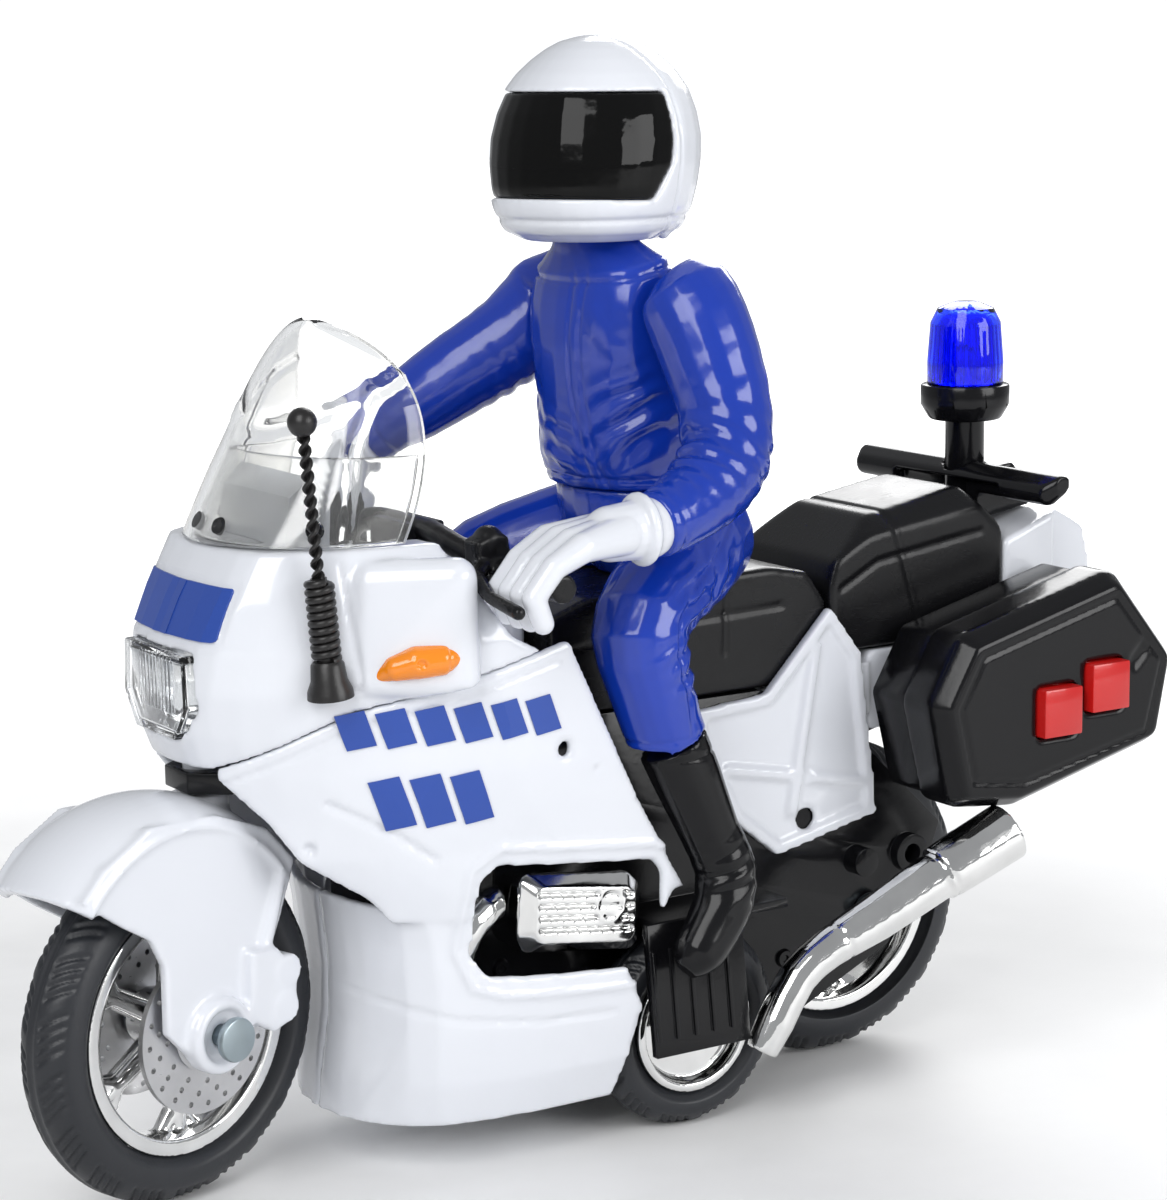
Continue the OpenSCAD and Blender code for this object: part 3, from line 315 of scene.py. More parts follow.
def moulded(name, colour, roughness, scuff=0.06, shade=0.05, peel=900.0, depth=0.02, coat=0.0, wear=None,
             ior=1.5):
    """Injection-moulded plastic in one colour."""
    material, tree, shader = new_material(name)
    skin = place_group(tree, "mould_skin", Colour=(*colour, 1), Shade=shade, Roughness=roughness, Scuff=scuff,
                       Peel_Scale=peel)
    colour_out = skin.outputs["Colour"]
    if wear:
        edge = place_group(tree, "edge_wear", Amount=wear[0])
        colour_out = mix_colour(tree, edge.outputs["Mask"], colour_out, wear[1])
    tree.links.new(colour_out, shader.inputs["Base Color"])
    tree.links.new(skin.outputs["Roughness"], shader.inputs["Roughness"])
    bump(tree, shader, skin.outputs["Height"], depth * MM)
    shader.inputs["IOR"].default_value = ior
    if coat:
        shader.inputs["Coat Weight"].default_value = coat
        shader.inputs["Coat Roughness"].default_value = 0.03
    return material


def metal(name, colour, roughness, spread=0.06, streak=(300, 2500, 2500), depth=0.004):
    """Plated or bare metal."""
    material, tree, shader = new_material(name)
    grain = place_group(tree, "metal_grain", Colour=(*colour, 1), Roughness=roughness, Spread=spread,
                        Streak=streak)
    tree.links.new(grain.outputs["Colour"], shader.inputs["Base Color"])
    tree.links.new(grain.outputs["Roughness"], shader.inputs["Roughness"])
    bump(tree, shader, grain.outputs["Height"], depth * MM, 0.3)
    shader.inputs["Metallic"].default_value = 1
    return material


def clear(name, colour, roughness, ior=1.49):
    """Clear or tinted plastic that light passes through."""
    material, tree, shader = new_material(name)
    skin = place_group(tree, "mould_skin", Colour=(*colour, 1), Shade=0.06, Roughness=roughness, Scuff=0.05,
                       Peel_Scale=500.0)
    tree.links.new(skin.outputs["Colour"], shader.inputs["Base Color"])
    tree.links.new(skin.outputs["Roughness"], shader.inputs["Roughness"])
    bump(tree, shader, skin.outputs["Height"], 0.01 * MM, 0.3)
    shader.inputs["Transmission Weight"].default_value = 1
    shader.inputs["IOR"].default_value = ior
    return material


def build_finishes(colours):
    """One material for each finish slot of the record."""
    white, blue, black = tuple(colours.white), tuple(colours.blue), tuple(colours.black)
    return {
        "white_gloss": moulded("white_gloss", white, 0.16, 0.05, 0.035, coat=0.35),
        "blue_gloss": moulded("blue_gloss", blue, 0.17, 0.06, 0.12, 700.0, 0.03, coat=0.3),
        "blue_film": moulded("blue_film", (0.022, 0.07, 0.36), 0.28, 0.05, 0.05),
        "black_gloss": moulded("black_gloss", black, 0.16, 0.07, 0.2, 1100.0, 0.02,
                               wear=(0.4, (0.03, 0.03, 0.034)), ior=1.36),
        "black_satin": moulded("black_satin", (0.006, 0.006, 0.007), 0.26, 0.08, 0.2, 1600.0, 0.03, ior=1.36),
        "black_rubber": moulded("black_rubber", (0.012, 0.011, 0.011), 0.34, 0.1, 0.2, 2200.0, 0.03),
        "orange_lens": moulded("orange_lens", tuple(colours.orange), 0.12, 0.04, 0.1, coat=0.5),
        "red_gloss": moulded("red_gloss", tuple(colours.red), 0.2, 0.05, 0.1, coat=0.3),
        "tyre_rubber": moulded("tyre_rubber", (0.018, 0.02, 0.025), 0.42, 0.1, 0.25, 1800.0, 0.04,
                               wear=(0.5, (0.06, 0.062, 0.068))),
        "natural_plastic": moulded("natural_plastic", (0.78, 0.74, 0.63), 0.4),
        "board_green": moulded("board_green", (0.02, 0.16, 0.05), 0.35),
        "speaker_black": moulded("speaker_black", (0.03, 0.03, 0.03), 0.6),
        "chrome_plate": metal("chrome_plate", (0.86, 0.86, 0.85), 0.05, 0.03, (400, 900, 900), 0.006),
        "silver_disc": metal("silver_disc", (0.62, 0.62, 0.63), 0.22, 0.08),
        "zinc_steel": metal("zinc_steel", (0.40, 0.47, 0.50), 0.26, 0.1),
        "gear_steel": metal("gear_steel", (0.5, 0.5, 0.5), 0.3, 0.1),
        "smoke_clear": clear("smoke_clear", (0.88, 0.88, 0.87), 0.03),
        "clear_lens": clear("clear_lens", (0.97, 0.98, 0.99), 0.03),
        "blue_lens": clear("blue_lens", (0.02, 0.06, 0.95), 0.05),
        "bulb_epoxy": clear("bulb_epoxy", (0.95, 0.95, 0.93), 0.1),
    }


FINISH = {}
SLOT_OF = {part["node"]: part["material_slot"] for part in frame["record"]["subparts"]}


class MOTORCYCLE_OT_finishes(bpy.types.Operator):
    """Give every CAD node the finish of its slot"""
    bl_idname = "motorcycle.finishes"
    bl_label = "Finishes"

    def execute(self, context):
        FINISH.update(build_finishes(context.scene.motorcycle_finish))
        for node, piece in frame["nodes"].items():
            if not piece.material_slots:
                piece.data.materials.append(None)
            for slot in piece.material_slots:
                slot.material = FINISH[SLOT_OF[node]]
        return {"FINISHED"}


# ---- shaping helpers ----
def apply_modifiers(piece):
    """Apply every modifier of a piece in order."""
    take(piece)
    for modifier in list(piece.modifiers):
        bpy.ops.object.modifier_apply(modifier=modifier.name)


def fuse_mesh(piece, voxel, passes, factor=0.5):
    """Melt the closed forms in a piece into one skin and round its edges. voxel is in millimetres."""
    remesh = piece.modifiers.new("melt", "REMESH")
    remesh.mode = "VOXEL"
    remesh.voxel_size = voxel * MM
    smooth = piece.modifiers.new("round", "SMOOTH")
    smooth.factor = factor
    smooth.iterations = passes
    apply_modifiers(piece)
    take(piece)
    bpy.ops.object.shade_smooth()
    return piece


def joined(name, parts):
    """Join several objects into one named piece."""
    deselect()
    for part in parts:
        part.select_set(True)
    bpy.context.view_layer.objects.active = parts[0]
    if len(parts) > 1:
        bpy.ops.object.join()
    piece = bpy.context.view_layer.objects.active
    piece.name = name
    bpy.ops.object.transform_apply(location=True, rotation=True, scale=True)
    return piece


def ball(centre, radius, scale=(1, 1, 1), segments=24):
    """A ball in millimetres."""
    deselect()
    bpy.ops.mesh.primitive_uv_sphere_add(segments=segments, ring_count=segments // 2, radius=radius * MM,
                                         location=Vector(centre) * MM, scale=scale)
    bpy.ops.object.transform_apply(location=True, rotation=True, scale=True)
    return bpy.context.object


def rod(a, b, radius_a, radius_b=None, sides=20):
    """A round bar from a to b in millimetres, tapering from one radius to the other."""
    a, b = Vector(a), Vector(b)
    deselect()
    bpy.ops.mesh.primitive_cone_add(
        vertices=sides, radius1=radius_a * MM, radius2=(radius_b or radius_a) * MM,
        depth=(b - a).length * MM, location=(a + b) / 2 * MM)
    piece = bpy.context.object
    piece.rotation_mode = "QUATERNION"
    piece.rotation_quaternion = (b - a).to_track_quat("Z", "Y")
    bpy.ops.object.transform_apply(location=True, rotation=True, scale=True)
    return piece


def limb(*stations):
    """Balls joined by tapering bars; each station is ((x, y, z), radius)."""
    parts = [ball(place, radius) for place, radius in stations]
    for (a, ra), (b, rb) in zip(stations, stations[1:]):
        parts.append(rod(a, b, ra, rb))
    return parts


def plate(outline, axis, low, high):
    """A flat outline in millimetres, pushed out along x, y or z from low to high."""
    order = {"x": lambda p: (low, p[0], p[1]), "y": lambda p: (p[0], low, p[1]),
             "z": lambda p: (p[0], p[1], low)}
    mesh = bpy.data.meshes.new("plate")
    mesh.from_pydata([Vector(order[axis](p)) * MM for p in outline], [], [range(len(outline))])
    piece = bpy.data.objects.new("plate", mesh)
    bpy.context.scene.collection.objects.link(piece)
    take(piece)
    bpy.ops.object.mode_set(mode="EDIT")
    bpy.ops.mesh.select_all(action="SELECT")
    push = Vector([(high - low) * MM if label == axis else 0 for label in "xyz"])
    bpy.ops.mesh.extrude_region_move(TRANSFORM_OT_translate={"value": push})
    bpy.ops.mesh.select_all(action="SELECT")
    bpy.ops.mesh.normals_make_consistent(inside=False)
    bpy.ops.object.mode_set(mode="OBJECT")
    return piece


def turned(profile, centre, axis, steps=96, start=0.0, sweep=360.0, closed=True):
    """Spin a profile of (radius, place along the axis) points round an axis through centre."""
    axis = Vector(axis).normalized()
    side = axis.orthogonal().normalized()
    if abs(axis.y) > 0.9:
        side = Vector((1, 0, 0))
    side = Matrix.Rotation(math.radians(start), 3, axis) @ side
    points = [(Vector(centre) + side * r + axis * t) * MM for r, t in profile]
    edges = [(i, i + 1) for i in range(len(points) - 1)] + ([(len(points) - 1, 0)] if closed else [])
    mesh = bpy.data.meshes.new("turned")
    mesh.from_pydata(points, edges, [])
    piece = bpy.data.objects.new("turned", mesh)
    bpy.context.scene.collection.objects.link(piece)
    take(piece)
    bpy.ops.object.mode_set(mode="EDIT")
    bpy.ops.mesh.select_all(action="SELECT")
    bpy.ops.mesh.spin(steps=steps, angle=math.radians(sweep), center=Vector(centre) * MM, axis=axis)
    bpy.ops.mesh.select_all(action="SELECT")
    bpy.ops.mesh.remove_doubles(threshold=1e-6)
    if sweep < 360:
        bpy.ops.mesh.select_all(action="DESELECT")
        bpy.ops.mesh.select_non_manifold()
        bpy.ops.mesh.fill_holes(sides=0)
        bpy.ops.mesh.select_all(action="SELECT")
    bpy.ops.mesh.normals_make_consistent(inside=False)
    bpy.ops.object.mode_set(mode="OBJECT")
    return piece


def mirrored(piece):
    """A copy on the other side of the centre plane, faces still pointing out."""
    twin = piece.copy()
    twin.data = piece.data.copy()
    bpy.context.scene.collection.objects.link(twin)
    twin.data.transform(Matrix.Scale(-1, 4, Vector((0, 1, 0))))
    twin.data.flip_normals()
    return twin


def round_edges(piece, width, angle=35, segments=2):
    """Bevel the sharp edges and shade the rest smooth. width is in millimetres."""
    bevel = piece.modifiers.new("edges", "BEVEL")
    bevel.width = width * MM
    bevel.segments = segments
    bevel.limit_method = "ANGLE"
    bevel.angle_limit = math.radians(angle)
    apply_modifiers(piece)
    take(piece)
    bpy.ops.object.shade_smooth_by_angle(angle=math.radians(40))
    return piece


def cut(piece, cutter):
    """Subtract one closed form from another and remove the cutter."""
    boolean = piece.modifiers.new("cut", "BOOLEAN")
    boolean.operation = "DIFFERENCE"
    boolean.solver = "EXACT"
    boolean.object = cutter
    apply_modifiers(piece)
    bpy.data.objects.remove(cutter)
    return piece


def carve(piece, *depths):
    """Move every vertex along its normal by the sum of depth(points, normals), all in millimetres."""
    mesh = piece.data
    count = len(mesh.vertices)
    points, normals = np.empty(count * 3), np.empty(count * 3)
    mesh.vertices.foreach_get("co", points)
    mesh.vertices.foreach_get("normal", normals)
    points, normals = points.reshape(-1, 3) / MM, normals.reshape(-1, 3)
    push = sum(depth(points, normals) for depth in depths)
    mesh.vertices.foreach_set("co", ((points + normals * push[:, None]) * MM).ravel())
    mesh.update()
    return piece


def seam(path, view, depth=0.28, width=0.34):
    """A groove along a path as seen along an axis; view is the axis with its sign, such as "+y"."""
    axis, sign = "xyz".index(view[1]), 1 if view[0] == "+" else -1
    pair = [i for i in range(3) if i != axis]

    def depth_at(points, normals):
        flat = points[:, pair]
        near = np.full(len(points), 1e9)
        for a, b in zip(path, path[1:]):
            a, b = np.array(a, float), np.array(b, float)
            along = np.clip((flat - a) @ (b - a) / ((b - a) @ (b - a)), 0, 1)
            near = np.minimum(near, np.linalg.norm(flat - (a + along[:, None] * (b - a)), axis=1))
        facing = np.clip((normals[:, axis] * sign - 0.05) / 0.25, 0, 1)
        return -depth * np.exp(-(near / width) ** 2) * facing
    return depth_at


def ring(centre, axis, depth=0.28, width=0.34, reach=12.0):
    """A groove round a limb in the plane through centre square to axis. A negative depth is a rib."""
    axis = np.array(Vector(axis).normalized())

    def depth_at(points, normals):
        away = points - np.array(centre, float)
        near = np.linalg.norm(away, axis=1) < reach
        return -depth * np.exp(-((away @ axis) / width) ** 2) * near
    return depth_at


def folds(centre, reach, across, pitch, height, lean=0.0, phase=0.0):
    """Soft creases: waves across a direction, fading out at reach from centre and bent by lean."""
    across = np.array(Vector(across).normalized())

    def depth_at(points, normals):
        away = points - np.array(centre, float)
        far = np.linalg.norm(away, axis=1) / reach
        along = away @ across + lean * (away ** 2).sum(1) / reach
        jitter = 0.35 * np.sin(points[:, 0] * 0.9 + points[:, 1] * 1.3) + 0.3 * np.sin(points[:, 2] * 1.1)
        wave = np.cos(2 * math.pi * along / pitch + phase + jitter)
        return height * (np.abs(wave) ** 0.7 * np.sign(wave) - 0.2) * np.exp(-(far ** 2) * 1.6)
    return depth_at


# ---- the rider ----
def melted(node, *depths, voxel=0.5, passes=6, extras=(), ending="_skin"):
    """A moulded part: its CAD form and any added forms melted into one skin, then grooves pressed in."""
    piece = fuse_mesh(joined(node + ending, [merged_copy(node, node + ending), *extras]), voxel, passes)
    if depths:
        carve(piece, *depths)
    return settle(piece, BODY_OF[node], SLOT_OF[node], node)


def suit_piece(node, *depths, voxel=0.42, passes=5, extras=()):
    """A part of the suit, with its seams and creases."""
    return melted(node, *depths, voxel=voxel, passes=passes, extras=extras, ending="_suit")


ZIP_LEFT = [(5.9, 124.6), (5.4, 116), (5.7, 108), (6.8, 102), (8.2, 94)]
ZIP_RIGHT = [(3.4, 124.6), (3.0, 116), (3.4, 108), (4.8, 102), (6.2, 94)]
LEG_SEAM = [(-16.6, 91.5), (-15.4, 88.8), (-10.8, 86), (-5.4, 83), (-1.6, 80.4), (0.6, 77.6), (1.2, 74.2),
            (0.6, 70.6), (-0.8, 67.2), (-1.2, 62)]


class MOTORCYCLE_OT_suit(bpy.types.Operator):
    """Mould the rider's jacket, sleeves, trousers and boots with seams and creases"""
    bl_idname = "motorcycle.suit"
    bl_label = "Rider's Suit"

    def execute(self, context):
        slopes = []
        for side in (1, -1):
            slopes += limb(((-6.3, side * 4.4, 127.0), 3.8), ((-8.8, side * 8.7, 123.4), 4.2))
        suit_piece(
            "jacket", seam(ZIP_LEFT, "+x"), seam(ZIP_RIGHT, "+x"),
            ring((-6, 0, 124.8), (0.22, 0, 1), 0.3, 0.3, 14),
            ring((-6, 0, 125.9), (0.22, 0, 1), -0.25, 0.6, 14),
            ring((-11, 0, 95.2), (0, 0, 1), 0.25, 0.3, 20),
            seam([(-6.6, 5), (-7.6, 9), (-9, 14)], "+z"), seam([(-6.6, -5), (-7.6, -9), (-9, -14)], "+z"),
            folds((-5, 12, 103), 8, (0.55, 0, 0.84), 4.2, 0.38, 0.25),
            folds((-5, -12, 103), 8, (0.55, 0, 0.84), 4.2, 0.38, 0.25),
            folds((0, 0, 98), 7, (0.1, 0.3, 1), 3.4, 0.2, 0.2),
            folds((-20, 0, 99), 10, (0, 0.2, 1), 4.2, 0.35, 0.2),
            folds((0, 9, 117), 6, (0.2, 0.8, 0.6), 5.5, 0.15), extras=slopes)
        suit_piece(
            "arm_left", ring((4.6, 31.8, 92.6), (0.94, 0.22, -0.23), 0.22, 0.3, 8),
            folds((-4.4, 26, 100.6), 8.5, (0.75, 0.2, -0.62), 3.3, 0.5, 0.12),
            folds((-14, 27, 98), 6, (0.6, 0.2, -0.75), 3.6, 0.22),
            folds((-12, 24, 109), 7, (0.2, -0.2, 1), 5, 0.16),
            folds((2, 31, 96), 4.5, (1, 0.2, 0), 2.8, 0.2))
        suit_piece(
            "arm_right", ring((14.6, -29.9, 100.4), (0.6, -0.45, -0.65), 0.22, 0.3, 8),
            seam([(-8, 123), (-2, 117), (5, 111.6), (11, 106), (15, 101)], "+x", 0.22, 0.3),
            seam([(-8, 125), (0, 119), (8, 112.4), (14, 105)], "-y", 0.25, 0.3),
            folds((-4, -22, 110), 8, (0.7, -0.3, -0.6), 3.6, 0.4, 0.12),
            folds((12, -28, 101), 5, (0.7, -0.3, -0.6), 3, 0.2))
        crease = [(s, f) for s in (1, -1) for f in ((-4, 27, 78.4), (-1.6, 27, 72.6))]
        suit_piece(
            "trousers", seam(LEG_SEAM, "+y"), seam(LEG_SEAM, "-y"),
            *[folds((x, s * y, z), 6.5, (0.35, 0, 1), 3.0, 0.42, 0.1) for s, (x, y, z) in crease],
            *[folds((-10, s * 20, 80), 7, (1, 0, 0.35), 4.2, 0.45, 0.15) for s in (1, -1)],
            *[folds((-14, s * 12, 88), 6, (0.5, 0, 0.8), 3.6, 0.25) for s in (1, -1)],
            *[ring((-0.4, s * 25.4, 61.2), (0.1, 0, 1), 0.22, 0.3, 9) for s in (1, -1)])
        suit_piece(
            "boots", *[ring((-3, s * 25.8, 58.2), (0.1, 0, 1), 0.18, 0.3, 9) for s in (1, -1)],
            *[folds((-8, s * 29, 40), 5, (0.3, 0, 1), 2.8, 0.28, 0.1) for s in (1, -1)], voxel=0.36, passes=4)
        return {"FINISHED"}


def helmet_point(x, y, z):
    """A point of the straight-ahead head, turned with the head."""
    return Matrix.Rotation(math.radians(28), 3, "Z") @ Vector((x, y, z)) + Vector((-5.7, 0, 0))


class MOTORCYCLE_OT_helmet(bpy.types.Operator):
    """Mould the helmet with its two-shell seam, rim lines and strap clip, and the glossy visor"""
    bl_idname = "motorcycle.helmet"
    bl_label = "Helmet"

    def execute(self, context):
        forward = tuple(Matrix.Rotation(math.radians(28), 3, "Z") @ Vector((1, 0, 0)))
        helmet = fuse_mesh(merged_copy("helmet", "helmet_shell"), 0.42, 8)
        carve(helmet, ring(helmet_point(1.2, 0, 144), forward, 0.32, 0.24, 30),
              ring(helmet_point(0, 0, 132.6), (0, 0, 1), 0.3, 0.35, 30),
              ring(helmet_point(0, 0, 131), (0, 0, 1), -0.25, 0.5, 30))
        settle(helmet, "head", "white_gloss", "helmet")
        visor = fuse_mesh(merged_copy("visor", "visor_shield"), 0.36, 5)
        glaze = moulded("visor_gloss", (0.003, 0.003, 0.003), 0.06, 0.02, 0.1, ior=1.27)
        settle(visor, "head", SLOT_OF["visor"], "visor", material=glaze)
        a, b = helmet_point(-2.4, 11.9, 132.2), helmet_point(-1.2, 10.4, 130.4)
        clip = joined("chin_clip", [rod(a, b, 1.1, 0.9), ball(b, 1.0)])
        fuse_mesh(clip, 0.2, 3)
        settle(clip, "head", "white_gloss")
        return {"FINISHED"}


FINGERS = 4


def glove(name, wrist, knuckle, side):
    """A hand closed on the grip: cuff, palm, four fingers over the bar and a thumb under it."""
    wrist, knuckle = Vector(wrist), Vector(knuckle)
    reach = (knuckle - wrist).normalized()
    parts = limb((tuple(wrist), 4.3), (tuple(wrist.lerp(knuckle, 0.45)), 3.9))
    for i in range(FINGERS):
        y = side * (27.6 + 3.0 * i)
        size = 1.85 - 0.08 * abs(i - 1.5)
        root = Vector((knuckle.x, y, knuckle.z - 0.25 * abs(i - 1.5)))
        back = wrist.lerp(knuckle, 0.4)
        parts += limb((tuple(back + Vector((0, (y - back.y) * 0.45, 0))), 2.9), (tuple(root), 2.1),
                      ((knuckle.x + 4.6, y, knuckle.z - 2.6), size), ((28.3, y, 85.2), size * 0.96),
                      ((26.9, y, 81.6), size * 0.88))
    inner = Vector((knuckle.x - 3.4, side * 27.4, knuckle.z - 2.2))
    parts += limb((tuple(inner), 2.1), ((knuckle.x - 0.6, side * 25.6, 87.4), 1.8),
                  ((24.4, side * 25.2, 83.0), 1.6))
    hem = wrist + reach * 1.0
    deselect()
    bpy.ops.mesh.primitive_torus_add(major_radius=4.35 * MM, minor_radius=0.85 * MM, major_segments=40,
                                     minor_segments=12, location=hem * MM)
    cuff = bpy.context.object
    cuff.rotation_mode = "QUATERNION"
    cuff.rotation_quaternion = reach.to_track_quat("Z", "Y")
    parts.append(cuff)
    return fuse_mesh(joined(name, parts), 0.3, 4)


class MOTORCYCLE_OT_gloves(bpy.types.Operator):
    """Mould the gloves closed on the handlebar grips"""
    bl_idname = "motorcycle.gloves"
    bl_label = "Gloves"

    def execute(self, context):
        for name, node, wrist, knuckle, side in (
                ("left_hand", "glove_left", (7.6, 32.5, 92.1), (20.4, 32.2, 91.6), 1),
                ("right_hand", "glove_right", (16.9, -31.6, 97.6), (22.2, -32.2, 92.0), -1)):
            settle(glove(name, wrist, knuckle, side), BODY_OF[node], "white_gloss", node)
        return {"FINISHED"}


# ---- body, chassis and fittings ----
def crisp(node, width, *extras, angle=30):
    """A flat-sided part: its CAD form with clean rounded edges, joined with any added details."""
    piece = merged_copy(node, node + "_shape")
    take(piece)
    bpy.ops.object.mode_set(mode="EDIT")
    bpy.ops.mesh.select_all(action="SELECT")
    bpy.ops.mesh.dissolve_limited(angle_limit=math.radians(1.0))
    bpy.ops.object.mode_set(mode="OBJECT")
    round_edges(piece, width, angle)
    piece = joined(node + "_shape", [piece, *extras])
    return settle(piece, BODY_OF[node], SLOT_OF[node], node)


def pit(centre, radius, depth):
    """A round dent; a negative depth is a stud."""
    def depth_at(points, normals):
        away = np.linalg.norm(points - np.array(centre, float), axis=1)
        return -depth * np.clip((radius - away) / 0.35, 0, 1)
    return depth_at


def sides(path_or_point, make, *rest):
    """The same groove on the left and the right side."""
    return [make(path_or_point, view, *rest) for view in ("+y", "-y")]


HORSESHOE = [(-1.4, 44), (2, 45.6), (26.6, 48.2), (31, 45.4), (32.6, 33.6), (30.2, 28.2), (26, 26.6),
             (3, 24.8)]
STEP_LINE = [(8, 21.4), (20, 22), (32, 23.6), (44, 27)]
PANEL_SEAM = [(62, 59.4), (47, 67), (30, 71), (18, 74)]
VENT = [(36, 47.5), (42, 52), (50, 56.4)]
SCREW_HEAD = [(0, 0), (1.5, 0), (1.2, 0.7), (0.6, 0.7), (0.45, 0.35), (0, 0.35)]


class MOTORCYCLE_OT_bodywork(bpy.types.Operator):
    """Mould the fairings, nose, tank, tail, seats and chassis with their seams, ribs and rounded edges"""
    bl_idname = "motorcycle.bodywork"
    bl_label = "Bodywork"

    def execute(self, context):
        for node, view, side in (("fairing_left", "+y", 1), ("fairing_right", "-y", -1)):
            melted(node, seam(HORSESHOE, view, -0.5, 0.6), seam(STEP_LINE, view, 0.35, 0.4),
                   seam(PANEL_SEAM, view, 0.3, 0.32), seam(VENT, view, 0.45, 0.5),
                   pit((52, side * 16, 50), 1.0, 0.6), pit((12, side * 25.6, 58), 0.9, 0.6),
                   voxel=0.54, passes=6)
        melted("nose_cowl", *sides([(31.4, 72.4), (31.2, 89)], seam, 0.25, 0.3),
               *sides([(46.6, 72.2), (47.4, 89)], seam, 0.3, 0.35),
               seam([(-12.8, 79), (12.8, 79), (12.8, 86.8), (-12.8, 86.8), (-12.8, 79)], "+x", 0.18, 0.25),
               voxel=0.54, passes=6)
        melted("tank_cover", ring((26, 0, 80.4), (0, 0, 1), 0.28, 0.35, 30),
               seam([(22, -4), (30, -4), (30, 4), (22, 4), (22, -4)], "+z", 0.3, 0.3), passes=8)
        melted("seat", *sides([(12, 71), (-6, 73.6), (-30, 74.4)], seam, 0.4, 0.45),
               ring((-20, 0, 78), (1, 0, 0.05), 0.25, 0.4, 16), passes=14)
        melted("pillion_seat", *sides([(-41, 75.6), (-48, 79.2), (-68, 82)], seam, 0.35, 0.4),
               ring((-52, 0, 82), (1, 0, -0.3), 0.3, 0.45, 18), passes=14)
        for node, view, side in (("tail_left", "+y", 1), ("tail_right", "-y", -1)):
            melted(node, seam([(-74, 67), (-89, 66)], view, 0.3, 0.35), pit((-33.6, side * 14, 48), 1.1, 0.5),
                   voxel=0.5, passes=3)
            frame_node = node.replace("tail", "frame")
            crisp(frame_node, 0.3, *[turned(SCREW_HEAD, (x, side * 12.35, z), (0, side, 0), 20, closed=False)
                                     for x, z in ((26, 52), (-22, 28), (-30, 20), (20, 27))])
        crisp("dash_panel", 0.3)
        crisp("steering_plate", 0.3)
        return {"FINISHED"}


SHIELD_ROWS = [(91.3, 60, 38, 19.5), (95, 58, 36.6, 20), (99, 55.9, 35.4, 20), (103, 53.4, 34.6, 19.8),
               (107, 51, 34.4, 19.2), (110.5, 48.9, 34.8, 18.2), (113.6, 47, 35.6, 16.4),
               (116.2, 45.4, 36.8, 13.6), (118.3, 44, 38.4, 10), (119.8, 42.9, 40, 6),
               (120.5, 42.3, 41.2, 2.4)]
CLIP_PROFILE = [(0, 0), (1.3, 0), (1.1, 0.8), (0.5, 1.0), (0, 0.7)]
CLIPS = [((57.0, 3.0, 93.2), (1, 0, 0.3)), ((49.6, 15.6, 93.6), (0.7, 0.8, 0.3)),
         ((57.0, -3.0, 93.2), (1, 0, 0.3)), ((49.6, -15.6, 93.6), (0.7, -0.8, 0.3))]
AERIAL_FOOT = [(0, 0), (3.2, 0), (3.1, 1), (2.5, 2.4), (2.3, 4.6), (1.9, 5.1), (0, 5.1)]


def shell(rows, name, thick):
    """A clear curved shell through rows of (height, nose, rear edge, half width), all in millimetres."""
    count = 33
    points = []
    for z, nose, rear, half in rows:
        for i in range(count):
            a = math.radians(90 - 180 * i / (count - 1))
            points.append(Vector((rear + (nose - rear) * math.cos(a), half * math.sin(a), z)) * MM)
    faces = [(r * count + i, r * count + i + 1, (r + 1) * count + i + 1, (r + 1) * count + i)
             for r in range(len(rows) - 1) for i in range(count - 1)]
    mesh = bpy.data.meshes.new(name)
    mesh.from_pydata(points, [], faces)
    piece = bpy.data.objects.new(name, mesh)
    bpy.context.scene.collection.objects.link(piece)
    take(piece)
    bpy.ops.object.mode_set(mode="EDIT")
    bpy.ops.mesh.select_all(action="SELECT")
    bpy.ops.mesh.normals_make_consistent(inside=False)
    bpy.ops.object.mode_set(mode="OBJECT")
    if piece.data.polygons[count // 2].normal.x < 0:
        piece.data.flip_normals()
    wall = piece.modifiers.new("wall", "SOLIDIFY")
    wall.thickness = thick * MM
    wall.offset = -1
    bevel = piece.modifiers.new("rim", "BEVEL")
    bevel.width, bevel.segments, bevel.limit_method = thick * 0.3 * MM, 2, "ANGLE"
    bevel.angle_limit = math.radians(50)
    soft = piece.modifiers.new("soft", "SUBSURF")
    soft.levels = soft.render_levels = 2
    apply_modifiers(piece)
    take(piece)
    bpy.ops.object.shade_smooth()
    return piece


